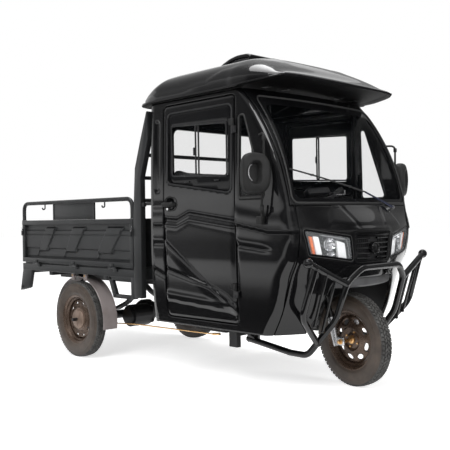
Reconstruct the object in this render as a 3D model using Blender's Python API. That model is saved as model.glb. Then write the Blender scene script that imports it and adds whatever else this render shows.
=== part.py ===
"""Enclosed electric cargo tricycle, modelled as separate named pieces.

Metres, +Z up. The vehicle's front faces -Y and its left side is +X. Places are measured
from the front axle line: x from the middle, y backwards from the front wheel's centre,
z up from the ground. One empty then moves everything so that the origin lies on the
ground under the middle of the vehicle.
"""

import math
from collections import namedtuple

import bmesh
import bpy
from mathutils import Matrix, Vector

# Gaps between pieces
SEAT_GAP = 0.0003
PANEL_GAP = 0.006

# Wheels
TYRE_RADIUS = 0.26
TYRE_WIDTH = 0.092
RIM_RADIUS = 0.162
RIM_WIDTH = 0.074
HUB_RADIUS = 0.045
HUB_WIDTH = 0.096
AXLE_RADIUS = 0.011
WHEEL_STEPS = 24
REAR_AXLE_Y = 1.96
FRONT_AXLE_Y = 0.030

# Steering
RAKE = math.radians(15)
STEER_AT_REST = math.radians(-11)
FORK_LEG_X = 0.088
FORK_LEG_RADIUS = 0.019
FORK_OFFSET = 0.075
HEAD_LOW_Z = 0.640
HEAD_HIGH_Z = 0.800
HEAD_WALL = 0.006
STEM_RADIUS = 0.016
STEM_SIDES = 16
STEM_BORE = (STEM_RADIUS + SEAT_GAP) / math.cos(math.pi / STEM_SIDES)
CLAMP_THICKNESS = 0.026
GRIP_RISE = 0.235
GRIP_SPAN = 0.31
GRIP_BACK = 0.13

# Cab
CAB_WALL = 0.020
CAB_BOTTOM = 0.320
CAB_TOP = 1.637
SCREEN_BOTTOM = 1.004
HOOD_EDGE = 0.998
SEAM_X = 0.500
DOOR_FRONT = 0.390
DOOR_REAR = 0.990
DOOR_BOTTOM = 0.362
DOOR_TOP = 1.610
DOOR_INSIDE_X = 0.510
DOOR_CORNER = 0.030
HINGE_X = 0.567
HINGE_Y = DOOR_FRONT + PANEL_GAP / 2
KNUCKLE_RADIUS = 0.008
KNUCKLE_LENGTH = 0.040
DOOR_HINGE_HEIGHTS = (0.550, 1.436)
PANE_THICKNESS = 0.005
WINDOW_CORNER = 0.035
FLOOR_Z = 0.335
FLOOR_THICKNESS = 0.012
ARCH_HALF_TOP = 0.275
ARCH_HALF_BOTTOM = 0.335
ARCH_TOP = 0.610
ARCH_REAR = 0.415
NECK_FOOT_Y = 0.370
STEER_HOLE_RADIUS = 0.150

# Cargo bed
BED_FRONT = 1.288
BED_REAR = 2.690
BED_HALF = 0.555
REAR_WHEEL_X = BED_HALF - 0.035
BED_FLOOR_TOP = 0.632
BED_FLOOR_THICKNESS = 0.006
FRAME_BOTTOM = 0.575
PANEL_TOP = 0.947
PANEL_THICKNESS = 0.028
PANEL_SKIN = 0.003
RAIL_TOP = 1.087
RAIL_RADIUS = 0.014
DROP_HINGE_PLACES = (1.513, 1.971, 2.467)
GATE_HINGE_PLACES = (-0.340, 0.0, 0.340)
POST_SIZE = 0.040
POST_FRONT = 1.224
POST_REAR = BED_FRONT + 0.010 - SEAT_GAP
POST_FOOT = 0.452
REAR_LEG_REACH = 0.046
DROP_LOW_Y = BED_FRONT + 0.018
DROP_HIGH_Y = BED_REAR - 0.004

# Chassis
CHASSIS_HALF = 0.235
RAIL_WIDTH = 0.050
RAIL_HEIGHT = 0.044
BED_RAIL_TOP = 0.549
OUTRIGGER_X = 0.528

# Drive
MOTOR_RADIUS = 0.078
MOTOR_AHEAD = 0.140
MOTOR_FLANGE_X = -0.053

# Bull bar and other tubes
BAR_RADIUS = 0.0175
MIRROR_TUBE = 0.006
MIRROR_ROD_X = 0.600
MIRROR_X = 0.663
MIRROR_TURN = math.radians(20)

# Wiper
WIPER_SPINDLE_X = 0.292
WIPER_ELBOW_X = 0.060
WIPER_TIP_X = -0.500
WIPER_SPINDLE_Z = 0.978
WIPER_ELBOW_Z = 1.073
WIPER_TIP_Z = 1.186
WIPER_LIFT = 0.012

TUBE_SIDES = 8

Paint = namedtuple("Paint", "name colour roughness metallic")
GLOSS_BLACK = Paint("gloss_black", (0.012, 0.012, 0.014), 0.18, 0.3)
SATIN_GREY = Paint("satin_grey", (0.045, 0.045, 0.048), 0.45, 0.2)
TRIM_BLACK = Paint("trim_black", (0.015, 0.015, 0.015), 0.6, 0.0)
RIM_BRONZE = Paint("rim_bronze", (0.10, 0.065, 0.045), 0.35, 0.7)
TYRE_RUBBER = Paint("tyre_rubber", (0.035, 0.030, 0.026), 0.85, 0.0)
CLEAR_GLASS = Paint("clear_glass", (0.20, 0.22, 0.24), 0.05, 0.0)
LAMP_GLASS = Paint("lamp_glass", (0.80, 0.82, 0.85), 0.08, 0.2)
RED_LENS = Paint("red_lens", (0.45, 0.02, 0.02), 0.2, 0.0)
SEAT_VINYL = Paint("seat_vinyl", (0.03, 0.03, 0.032), 0.55, 0.0)
GUARD_GREY = Paint("guard_grey", (0.30, 0.25, 0.24), 0.5, 0.1)

for old in list(bpy.data.objects):
    bpy.data.objects.remove(old)

front_axle_line = bpy.data.objects.new("front_axle_line", None)
bpy.context.scene.collection.objects.link(front_axle_line)


# Helpers for objects and materials

def paint_material(paint):
    """One Principled material for each paint, shared by the pieces that wear it."""
    material = bpy.data.materials.get(paint.name)
    if material is None:
        material = bpy.data.materials.new(paint.name)
        material.use_nodes = True
        shader = material.node_tree.nodes["Principled BSDF"]
        shader.inputs["Base Color"].default_value = (*paint.colour, 1)
        shader.inputs["Roughness"].default_value = paint.roughness
        shader.inputs["Metallic"].default_value = paint.metallic
    return material


def add_object(name, shape, paint=None):
    """Links a bmesh as an object under the front axle line. Without paint it's a tool."""
    mesh = bpy.data.meshes.new(name)
    bmesh.ops.recalc_face_normals(shape, faces=shape.faces)
    shape.to_mesh(mesh)
    shape.free()
    item = bpy.data.objects.new(name, mesh)
    item.parent = front_axle_line
    bpy.context.scene.collection.objects.link(item)
    if paint is None:
        item.hide_render = True
        item.display_type = "WIRE"
    else:
        mesh.materials.append(paint_material(paint))
    return item


def apply_modifiers(item):
    """Bakes an object's modifiers into its mesh."""
    bpy.context.view_layer.update()
    evaluated = item.evaluated_get(bpy.context.evaluated_depsgraph_get())
    baked = bpy.data.meshes.new_from_object(evaluated)
    old = item.data
    item.modifiers.clear()
    item.data = baked
    bpy.data.meshes.remove(old)
    baked.name = item.name


def combine(item, tool, operation):
    """Boolean of an object with a tool, which is used up."""
    step = item.modifiers.new(operation.lower(), "BOOLEAN")
    step.operation = operation
    step.object = tool
    step.solver = "EXACT"
    apply_modifiers(item)
    bpy.data.objects.remove(tool)
    return item


def cut(item, *tools):
    """Takes each tool out of the object."""
    for tool in tools:
        combine(item, tool, "DIFFERENCE")
    return item


def join(item, *tools):
    """Adds each tool to the object as one body."""
    for tool in tools:
        combine(item, tool, "UNION")
    return item


def common(item, *tools):
    """Keeps what the object shares with each tool."""
    for tool in tools:
        combine(item, tool, "INTERSECT")
    return item


def copy_of(item, name, paint=None):
    """A copy of an object with its own mesh."""
    shape = bmesh.new()
    shape.from_mesh(item.data)
    return add_object(name, shape, paint)


def mirrored(item, name, paint):
    """A copy of an object on the other side of the vehicle."""
    shape = bmesh.new()
    shape.from_mesh(item.data)
    bmesh.ops.transform(shape, matrix=Matrix.Diagonal((-1, 1, 1, 1)), verts=shape.verts)
    bmesh.ops.reverse_faces(shape, faces=shape.faces)
    return add_object(name, shape, paint)


def smooth(item, angle=35):
    """Merges flat faces, then shades smoothly with creases above the angle."""
    shape = bmesh.new()
    shape.from_mesh(item.data)
    bmesh.ops.dissolve_limit(shape, angle_limit=math.radians(0.05), use_dissolve_boundaries=False,
                             verts=shape.verts, edges=shape.edges)
    shape.to_mesh(item.data)
    shape.free()
    item.data.shade_smooth()
    item.data.set_sharp_from_angle(angle=math.radians(angle))
    return item


def pivot(item, point):
    """Moves an object's origin to a point on its joint's axis."""
    item.data.transform(Matrix.Translation(-Vector(point)))
    item.location = point
    return item


# Helpers for shapes

def rounded_outline(corners, radius, steps=4):
    """A closed outline whose corners are arcs of the radius."""
    outline = []
    count = len(corners)
    for index in range(count):
        corner = Vector(corners[index])
        before = (Vector(corners[index - 1]) - corner).normalized()
        after = (Vector(corners[(index + 1) % count]) - corner).normalized()
        half_angle = before.angle(after) / 2
        start = corner + before * (radius / math.tan(half_angle))
        end = corner + after * (radius / math.tan(half_angle))
        centre = corner + (before + after).normalized() * (radius / math.sin(half_angle))
        for step in range(steps + 1):
            arm = (start - centre).lerp(end - centre, step / steps)
            outline.append(centre + arm.normalized() * radius)
    return [(point.x, point.y) for point in outline]


def prism(name, outline, axis, low, high, paint=None):
    """A closed outline pushed along an axis. It's given in the two other axes, in order."""
    shape = bmesh.new()
    place = {
        "X": lambda a, b, c: (c, a, b),
        "Y": lambda a, b, c: (a, c, b),
        "Z": lambda a, b, c: (a, b, c),
    }[axis]
    bottom = [shape.verts.new(place(a, b, low)) for a, b in outline]
    top = [shape.verts.new(place(a, b, high)) for a, b in outline]
    shape.faces.new(bottom)
    shape.faces.new(top)
    count = len(outline)
    for index in range(count):
        after = (index + 1) % count
        shape.faces.new((bottom[index], bottom[after], top[after], top[index]))
    return add_object(name, shape, paint)


def box(name, low, high, paint=None, bevel=0.0):
    """A box between two corners, with its edges rounded if a bevel is given."""
    shape = bmesh.new()
    bmesh.ops.create_cube(shape, size=1)
    size = Vector(high) - Vector(low)
    middle = (Vector(high) + Vector(low)) / 2
    placing = Matrix.Translation(middle) @ Matrix.Diagonal((*size, 1))
    bmesh.ops.transform(shape, matrix=placing, verts=shape.verts)
    if bevel > 0:
        bmesh.ops.bevel(shape, geom=shape.edges[:], offset=bevel, segments=2,
                        profile=0.5, affect="EDGES")
    return add_object(name, shape, paint)


def loft(name, rings, paint=None):
    """A closed body through rings with equal numbers of points, in flat triangles."""
    shape = bmesh.new()
    rows = [[shape.verts.new(point) for point in ring] for ring in rings]
    count = len(rings[0])
    for row, after_row in zip(rows, rows[1:]):
        for index in range(count):
            after = (index + 1) % count
            shape.faces.new((row[index], row[after], after_row[after], after_row[index]))
    bmesh.ops.triangulate(shape, faces=shape.faces)
    shape.faces.new(rows[0])
    shape.faces.new(rows[-1])
    return add_object(name, shape, paint)


def turned(name, profile, axis, centre=(0, 0, 0), steps=WHEEL_STEPS, paint=None):
    """A closed profile of (along, radius) points turned about an axis through a centre."""
    shape = bmesh.new()
    rows = []
    for step in range(steps):
        angle = 2 * math.pi * step / steps
        rows.append([shape.verts.new((along, radius * math.cos(angle), radius * math.sin(angle)))
                     for along, radius in profile])
    count = len(profile)
    for step in range(steps):
        row = rows[step]
        after_row = rows[(step + 1) % steps]
        for index in range(count):
            after = (index + 1) % count
            shape.faces.new((row[index], row[after], after_row[after], after_row[index]))
    turn = Vector((1, 0, 0)).rotation_difference(Vector(axis)).to_matrix().to_4x4()
    placing = Matrix.Translation(centre) @ turn
    bmesh.ops.transform(shape, matrix=placing, verts=shape.verts)
    return add_object(name, shape, paint)


def solid_turned(name, profile, centre, paint=None, steps=14):
    """A profile of (x, radius) points that starts and ends on the X axis, turned about it."""
    shape = bmesh.new()
    first = shape.verts.new((profile[0][0], 0, 0))
    last = shape.verts.new((profile[-1][0], 0, 0))
    rows = []
    for step in range(steps):
        angle = 2 * math.pi * step / steps
        rows.append([shape.verts.new((x, radius * math.cos(angle), radius * math.sin(angle)))
                     for x, radius in profile[1:-1]])
    for step in range(steps):
        row = rows[step]
        after_row = rows[(step + 1) % steps]
        shape.faces.new((first, row[0], after_row[0]))
        for index in range(len(row) - 1):
            shape.faces.new((row[index], row[index + 1], after_row[index + 1], after_row[index]))
        shape.faces.new((row[-1], last, after_row[-1]))
    bmesh.ops.translate(shape, vec=centre, verts=shape.verts)
    return add_object(name, shape, paint)


def rod(name, start, end, radius, paint=None, sides=TUBE_SIDES, end_radius=None):
    """A round bar between two points."""
    shape = bmesh.new()
    start = Vector(start)
    end = Vector(end)
    along = end - start
    top = radius if end_radius is None else end_radius
    bmesh.ops.create_cone(shape, cap_ends=True, segments=sides, radius1=radius,
                          radius2=top, depth=along.length)
    turn = Vector((0, 0, 1)).rotation_difference(along).to_matrix().to_4x4()
    placing = Matrix.Translation((start + end) / 2) @ turn
    bmesh.ops.transform(shape, matrix=placing, verts=shape.verts)
    return add_object(name, shape, paint)


def ball(name, centre, radius, paint=None, rings=6):
    """A round ball."""
    shape = bmesh.new()
    bmesh.ops.create_uvsphere(shape, u_segments=rings * 2, v_segments=rings, radius=radius)
    bmesh.ops.translate(shape, vec=centre, verts=shape.verts)
    return add_object(name, shape, paint)


def bent_path(points, bend, steps=3):
    """A path whose inner points are bends of a given radius."""
    path = [Vector(points[0])]
    for index in range(1, len(points) - 1):
        corner = Vector(points[index])
        before = (Vector(points[index - 1]) - corner).normalized()
        after = (Vector(points[index + 1]) - corner).normalized()
        half_angle = before.angle(after) / 2
        reach = bend / math.tan(half_angle)
        centre = corner + (before + after).normalized() * (bend / math.sin(half_angle))
        start = corner + before * reach - centre
        end = corner + after * reach - centre
        turn = math.pi - 2 * half_angle
        axis = start.cross(end)
        for step in range(steps + 1):
            swing = Matrix.Rotation(turn * step / steps, 3, axis)
            path.append(centre + swing @ start)
    path.append(Vector(points[-1]))
    return path


def tube(name, points, radius, bend=0.05, paint=None, sides=TUBE_SIDES):
    """A bent round tube along points, as a closed body."""
    path = bent_path(points, bend) if len(points) > 2 else [Vector(p) for p in points]
    rings = []
    side = None
    for index, point in enumerate(path):
        before = path[max(index - 1, 0)]
        after = path[min(index + 1, len(path) - 1)]
        along = (after - before).normalized()
        if side is None:
            helper = Vector((0, 0, 1)) if abs(along.z) < 0.9 else Vector((0, 1, 0))
            side = along.cross(helper).normalized()
        side = (side - along * side.dot(along)).normalized()
        other = along.cross(side)
        rings.append([point + side * (radius * math.cos(2 * math.pi * k / sides))
                      + other * (radius * math.sin(2 * math.pi * k / sides))
                      for k in range(sides)])
    return loft(name, rings, paint)


def knuckle(axis, centre, reach):
    """A hinge knuckle along an axis with a leaf that reaches to a piece beside it."""
    half = Vector(axis) * (KNUCKLE_LENGTH / 2)
    centre = Vector(centre)
    barrel = rod("barrel", centre - half, centre + half, KNUCKLE_RADIUS, sides=8)
    reach = Vector(reach)
    corners = [centre + half * a + reach * b for a in (-0.9, 0.9) for b in (0, 1)]
    pad = (Vector((1, 1, 1)) - Vector([abs(c) for c in axis])) * 0.003
    low = Vector([min(point[k] for point in corners) for k in range(3)]) - pad
    high = Vector([max(point[k] for point in corners) for k in range(3)]) + pad
    return join(barrel, box("leaf", low, high))


# Wheels

def tyre_profile():
    """A tyre's cross-section with bead seats, round sides and a flat-crowned tread."""
    half = TYRE_WIDTH / 2
    tread_half = half * 0.76
    bead = RIM_RADIUS - 0.010
    shoulder = TYRE_RADIUS - 0.018
    widest = (TYRE_RADIUS + RIM_RADIUS) / 2
    wall = 0.010
    outer = ((-half * 0.80, bead), (-half, widest), (-half * 0.93, shoulder),
             (-tread_half, TYRE_RADIUS - 0.004), (0, TYRE_RADIUS),
             (tread_half, TYRE_RADIUS - 0.004), (half * 0.93, shoulder), (half, widest),
             (half * 0.80, bead))
    inner_half = half * 0.80 - wall
    inner = ((inner_half, bead), (half - wall, widest), (tread_half, TYRE_RADIUS - 0.022),
             (-tread_half, TYRE_RADIUS - 0.022), (-half + wall, widest), (-inner_half, bead))
    return outer + inner


def rim_profile():
    """A pressed steel rim and its hub: flanges, drop well, dished disc and bored hub."""
    half = RIM_WIDTH / 2
    seat = RIM_RADIUS - 0.010 - SEAT_GAP
    well = seat - 0.024
    flange = RIM_RADIUS + 0.004
    sheet = 0.004
    hub_half = HUB_WIDTH / 2
    bore = AXLE_RADIUS + SEAT_GAP
    return (
        (-half - sheet, seat - sheet), (-half - sheet, flange), (-half, seat),
        (-half * 0.30, well), (half * 0.30, well), (half, seat), (half + sheet, flange),
        (half + sheet, seat - sheet), (half * 0.45, well - sheet), (0.020, HUB_RADIUS * 1.5),
        (0.010, HUB_RADIUS), (hub_half - 0.014, HUB_RADIUS * 0.72), (hub_half, HUB_RADIUS * 0.60),
        (hub_half, bore), (-hub_half, bore), (-hub_half, HUB_RADIUS * 0.62),
        (0.004, HUB_RADIUS * 0.80), (0.014, HUB_RADIUS * 1.5), (half * 0.30, well - sheet),
        (-half * 0.30, well - sheet),
    )


def wheel(name, centre, side, holes):
    """Tyre and rim of one wheel, turned about its own centre; side is the disc's face."""
    tyre = turned(name + "_tyre", tyre_profile(), (1, 0, 0), paint=TYRE_RUBBER)
    rim = turned(name + "_rim", rim_profile(), (side, 0, 0), paint=RIM_BRONZE)
    for index in range(holes):
        angle = 2 * math.pi * index / holes
        reach = (HUB_RADIUS + RIM_RADIUS) * 0.49
        spot = (0, reach * math.cos(angle), reach * math.sin(angle))
        hole = rod("hole", (-0.1, 0, 0), (0.1, 0, 0), 0.013, sides=10)
        hole.data.transform(Matrix.Diagonal((1, 1.0, 1.45, 1)))
        hole.data.transform(Matrix.Rotation(angle, 4, "X"))
        hole.data.transform(Matrix.Translation(spot))
        cut(rim, hole)
    for item in (tyre, rim):
        item.location = centre
        smooth(item)
    return tyre, rim


def steered(item):
    """Turns an object about the steering axis to where the steering stands."""
    base = on_head_axis(TYRE_RADIUS)
    axis = on_head_axis(HEAD_HIGH_Z) - base
    turn = Matrix.Rotation(STEER_AT_REST, 4, axis)
    place = Matrix.Translation(base) @ turn @ Matrix.Translation(-base)
    start = item.location.copy()
    end = place @ start if start.length else start
    item.data.transform(Matrix.Translation(-end) @ place @ Matrix.Translation(start))
    item.location = end
    return item


wheel("rear_left", (REAR_WHEEL_X, REAR_AXLE_Y, TYRE_RADIUS), 1, 0)
wheel("rear_right", (-REAR_WHEEL_X, REAR_AXLE_Y, TYRE_RADIUS), -1, 0)


# Steering: fork, stem and handlebar turn about the raked head axis

def on_head_axis(height, forward=0.0):
    """A point on the steering axis at a height, or ahead of it at right angles."""
    base = Vector((0, FORK_OFFSET, TYRE_RADIUS))
    along = Vector((0, math.sin(RAKE), math.cos(RAKE)))
    ahead = Vector((0, -math.cos(RAKE), math.sin(RAKE)))
    return base + along * ((height - TYRE_RADIUS) / math.cos(RAKE)) + ahead * forward


def beside(point, x):
    """The same point moved sideways."""
    return Vector((x, point.y, point.z))


for part in wheel("front", (0, FRONT_AXLE_Y, TYRE_RADIUS), -1, 8):
    steered(part)


def build_fork():
    """Two legs with leading axle lugs, a lower clamp and the steering stem."""
    clamp_z = HEAD_LOW_Z - CLAMP_THICKNESS
    leg_top = on_head_axis(clamp_z)
    leg_bottom = on_head_axis(TYRE_RADIUS - 0.030)
    fork = rod("fork", on_head_axis(clamp_z - 0.010), on_head_axis(HEAD_HIGH_Z + 0.060),
               STEM_RADIUS, GLOSS_BLACK, sides=STEM_SIDES)
    clamp = rod("clamp", on_head_axis(clamp_z - 0.020), on_head_axis(clamp_z + 0.010), 0.036,
                sides=16)
    clamp.data.transform(Matrix.Diagonal((3.4, 1, 1, 1)))
    join(fork, clamp)
    for side in (-1, 1):
        x = side * FORK_LEG_X
        join(fork, rod("leg", beside(leg_top, x), beside(leg_bottom, x), FORK_LEG_RADIUS))
        middle = on_head_axis(0.400)
        join(fork, rod("slider", beside(middle, x), beside(leg_bottom, x),
                       FORK_LEG_RADIUS + 0.005))
        lug = rounded_outline(((FRONT_AXLE_Y - 0.022, TYRE_RADIUS - 0.024),
                               (FRONT_AXLE_Y - 0.022, TYRE_RADIUS + 0.024),
                               (FORK_OFFSET, TYRE_RADIUS + 0.040),
                               (FORK_OFFSET, TYRE_RADIUS - 0.030)), 0.015)
        join(fork, prism("lug", lug, "X", x - 0.008, x + 0.008))
    reach = FORK_LEG_X + 0.030
    join(fork, rod("axle", (-reach, FRONT_AXLE_Y, TYRE_RADIUS),
                   (reach, FRONT_AXLE_Y, TYRE_RADIUS), AXLE_RADIUS, sides=16))
    smooth(steered(fork))
    pivot(fork, on_head_axis(HEAD_LOW_Z))


build_fork()


def build_handlebar():
    """Stem clamp, swept bar with grips and a small instrument pod."""
    foot = on_head_axis(HEAD_HIGH_Z + 0.060 + SEAT_GAP)
    neck = on_head_axis(HEAD_HIGH_Z + GRIP_RISE)
    bar = rod("handlebar", foot, neck, STEM_RADIUS + 0.004, TRIM_BLACK, sides=16)
    grip = neck + Vector((0, GRIP_BACK, 0.050))
    bend_x = 0.10
    middle = neck + Vector((0, 0, 0.004))
    path = (beside(grip, -GRIP_SPAN), beside(middle, -bend_x), beside(middle, bend_x),
            beside(grip, GRIP_SPAN))
    join(bar, tube("bar", path, 0.0115, bend=0.05, sides=8))
    for side in (-1, 1):
        end = beside(grip, side * GRIP_SPAN)
        inner = end + (beside(middle, side * bend_x) - end).normalized() * 0.13
        join(bar, rod("grip", end + (end - inner).normalized() * 0.004, inner, 0.018))
    pod = neck + Vector((0, -0.015, 0.045))
    join(bar, box("pod", pod - Vector((0.085, 0.030, 0.035)), pod + Vector((0.085, 0.040, 0.035)),
                  bevel=0.012))
    smooth(steered(bar))
    pivot(bar, on_head_axis(HEAD_LOW_Z))


build_handlebar()


# Chassis: ladder frame, head tube and gooseneck

def build_chassis():
    """Two side rails with a step up behind the cab, cross tubes and the steering head."""
    head_radius = STEM_BORE + HEAD_WALL
    low = on_head_axis(HEAD_LOW_Z + SEAT_GAP)
    high = on_head_axis(HEAD_HIGH_Z)
    half = RAIL_WIDTH / 2
    cab_top = FLOOR_Z - SEAT_GAP
    cab_low = cab_top - RAIL_HEIGHT
    bed_low = BED_RAIL_TOP - RAIL_HEIGHT
    rail_front = NECK_FOOT_Y - half
    rail_rear = BED_REAR - 0.060
    chassis = None
    for side in (-1, 1):
        x = side * CHASSIS_HALF
        outline = ((rail_front, cab_low), (rail_front, cab_top), (1.150, cab_top),
                   (1.310, BED_RAIL_TOP), (rail_rear, BED_RAIL_TOP), (rail_rear, bed_low),
                   (1.350, bed_low), (1.190, cab_low))
        rail = prism("chassis_frame", outline, "X", x - half, x + half,
                     TRIM_BLACK if chassis is None else None)
        chassis = rail if chassis is None else join(chassis, rail)
    inset = 0.006
    for y, top in ((NECK_FOOT_Y, cab_top), (0.80, cab_top), (1.16, cab_top),
                   (1.44, BED_RAIL_TOP), (1.96, BED_RAIL_TOP), (rail_rear - half, BED_RAIL_TOP)):
        join(chassis, box("cross", (-CHASSIS_HALF, y - half + inset, top - RAIL_HEIGHT + inset),
                          (CHASSIS_HALF, y + half - inset, top - inset)))
    join(chassis, rod("gooseneck", (0, NECK_FOOT_Y, cab_top - RAIL_HEIGHT / 2),
                      on_head_axis(HEAD_HIGH_Z - 0.060), 0.026, sides=12))
    join(chassis, rod("head", low, high, head_radius, sides=16))
    cut(chassis, rod("head_bore", on_head_axis(HEAD_LOW_Z - 0.05),
                     on_head_axis(HEAD_HIGH_Z + 0.05), STEM_BORE, sides=STEM_SIDES))
    smooth(chassis)


build_chassis()


# Rear axle, springs, motor and battery

def build_outriggers():
    """Arms that carry the cab's sills from the side rails, each with a foot below the sill."""
    inner = CHASSIS_HALF + RAIL_WIDTH / 2 + SEAT_GAP
    foot = OUTRIGGER_X - 0.030
    top = CAB_BOTTOM - SEAT_GAP
    for name, side in (("outrigger_left", 1), ("outrigger_right", -1)):
        low_x, high_x = sorted((side * inner, side * OUTRIGGER_X))
        arm = box(name, (low_x, 0.440, top - 0.026), (high_x, 0.470, top), SATIN_GREY)
        low_x, high_x = sorted((side * foot, side * OUTRIGGER_X))
        join(arm, box("foot", (low_x, 0.424, 0.236), (high_x, 0.484, top)))


build_outriggers()


def build_rear_axle():
    """Axle tube with its gear case and the leaf springs that carry the frame."""
    reach = REAR_WHEEL_X - HUB_WIDTH / 2 - 0.010
    z = TYRE_RADIUS
    case_x = 0.050
    case = ((case_x - 0.095, 0.030), (case_x - 0.070, 0.062), (case_x - 0.030, 0.086),
            (case_x + 0.030, 0.086), (case_x + 0.070, 0.062), (case_x + 0.095, 0.030))
    stub = REAR_WHEEL_X + HUB_WIDTH / 2 + 0.018
    profile = ((-stub, 0.0), (-stub, AXLE_RADIUS), (-reach, AXLE_RADIUS), (-reach, 0.030)) + case
    profile += ((reach, 0.030), (reach, AXLE_RADIUS), (stub, AXLE_RADIUS), (stub, 0.0))
    axle = solid_turned("rear_axle", profile, (0, REAR_AXLE_Y, z), SATIN_GREY)
    arm = rounded_outline(((REAR_AXLE_Y - MOTOR_AHEAD - MOTOR_RADIUS, z - MOTOR_RADIUS * 0.8),
                           (REAR_AXLE_Y + 0.050, z - 0.050), (REAR_AXLE_Y + 0.050, z + 0.050),
                           (REAR_AXLE_Y - MOTOR_AHEAD - MOTOR_RADIUS, z + MOTOR_RADIUS * 0.8)),
                          0.030, 3)
    join(axle, prism("motor_flange", arm, "X", MOTOR_FLANGE_X, MOTOR_FLANGE_X + 0.012))
    spring_half = 0.360
    eye_z = BED_RAIL_TOP - RAIL_HEIGHT - 0.055
    low_z = z + 0.050
    steps = 6
    for side in (-1, 1):
        x = side * (CHASSIS_HALF + 0.060)
        top = []
        bottom = []
        for step in range(steps + 1):
            share = -1 + 2 * step / steps
            y = REAR_AXLE_Y + spring_half * share
            height = low_z + (eye_z - low_z) * share * share
            top.append((y, height + 0.006))
            bottom.append((y, height - 0.004 - 0.018 * (1 - abs(share))))
        join(axle, prism("spring", top + bottom[::-1], "X", x - 0.025, x + 0.025))
        join(axle, box("clip", (x - 0.032, REAR_AXLE_Y - 0.040, z - 0.032),
                       (x + 0.032, REAR_AXLE_Y + 0.040, low_z + 0.016)))
        for end in (-1, 1):
            y = REAR_AXLE_Y + end * (spring_half - 0.004)
            plate = rounded_outline(((y - 0.030, eye_z - 0.027), (y + 0.030, eye_z - 0.027),
                                     (y + 0.030, BED_RAIL_TOP - 0.005),
                                     (y - 0.030, BED_RAIL_TOP - 0.005)), 0.010, 2)
            inner = CHASSIS_HALF + RAIL_WIDTH / 2 + SEAT_GAP
            sheet = sorted((side * inner, side * (inner + 0.062)))
            join(axle, prism("hanger", plate, "X", *sheet))
    smooth(axle)


build_rear_axle()


def build_drive():
    """The hub motor's housing beside the gear case, and the battery box between the rails."""
    z = TYRE_RADIUS
    y = REAR_AXLE_Y - MOTOR_AHEAD
    flange = MOTOR_FLANGE_X - SEAT_GAP
    motor = rod("motor", (flange - 0.150, y, z), (flange, y, z), MOTOR_RADIUS, SATIN_GREY,
                sides=24)
    join(motor, rod("cap", (flange - 0.170, y, z), (flange - 0.140, y, z),
                    MOTOR_RADIUS - 0.018, sides=24))
    smooth(motor)
    side = CHASSIS_HALF - RAIL_WIDTH / 2 - SEAT_GAP
    rail_top = FLOOR_Z - SEAT_GAP
    battery = box("battery_box", (-side, 0.835, rail_top - 0.100), (side, 1.115, rail_top - 0.010),
                  TRIM_BLACK, bevel=0.008)
    smooth(battery)


build_drive()


# Cab shell: plan outlines at several heights, skinned, hollowed and cut into panels

CabSection = namedtuple("CabSection", "height half_width nose_y side_y rear_y")
CAB_SECTIONS = (
    CabSection(CAB_BOTTOM, 0.535, 0.000, 0.205, 1.140),
    CabSection(0.450, 0.552, -0.052, 0.150, 1.140),
    CabSection(0.600, 0.560, -0.090, 0.105, 1.140),
    CabSection(0.740, 0.564, -0.112, 0.038, 1.140),
    CabSection(0.860, 0.564, -0.114, 0.020, 1.140),
    CabSection(0.900, 0.564, -0.092, 0.024, 1.140),
    CabSection(SCREEN_BOTTOM, 0.562, -0.020, 0.030, 1.140),
    CabSection(1.170, 0.560, 0.018, 0.070, 1.140),
    CabSection(1.300, 0.557, 0.072, 0.118, 1.140),
    CabSection(1.430, 0.553, 0.140, 0.186, 1.140),
    CabSection(1.540, 0.549, 0.215, 0.260, 1.140),
    CabSection(CAB_TOP, 0.545, 0.300, 0.345, 1.140),
)
PILLAR_X = CAB_SECTIONS[-1].half_width - 0.013
CAB_CORNER = 0.034
CAB_REAR_CORNER = 0.050


def cab_outline(section, inset, height):
    """The plan of the cab at one height, in order around from the nose."""
    half = section.half_width - inset
    nose = section.nose_y + inset
    rear = section.rear_y - inset
    corner = CAB_CORNER - inset * 0.5
    rear_corner = CAB_REAR_CORNER - inset * 0.5
    curve = section.side_y - section.nose_y
    right = []
    front_end = half - corner
    for step in range(6):
        x = front_end * step / 5
        right.append((x, nose + curve * (x / section.half_width) ** 2))
    edge_y = right[-1][1] + corner
    for step in range(1, 4):
        angle = math.pi / 2 * step / 3
        right.append((front_end + corner * math.sin(angle), edge_y - corner * math.cos(angle)))
    rear_start = rear - rear_corner
    for step in range(4):
        angle = math.pi / 2 * step / 3
        right.append((half - rear_corner + rear_corner * math.cos(angle),
                      rear_start + rear_corner * math.sin(angle)))
    left = [(-x, y) for x, y in right[1:]][::-1]
    return [(x, y, height) for x, y in right + left]


def cab_solid(name, inset, overrun=0.0, paint=None):
    """The cab's form as one solid, smaller all round by the inset.

    The overrun carries it on above the top and below the bottom, as a hollow needs.
    """
    rings = [cab_outline(section, inset, section.height) for section in CAB_SECTIONS]
    if overrun > 0:
        low = CAB_SECTIONS[0]
        high = CAB_SECTIONS[-1]
        rings.insert(0, cab_outline(low, inset, low.height - overrun))
        rings.append(cab_outline(high, inset, high.height + overrun))
    return loft(name, rings, paint)


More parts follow.
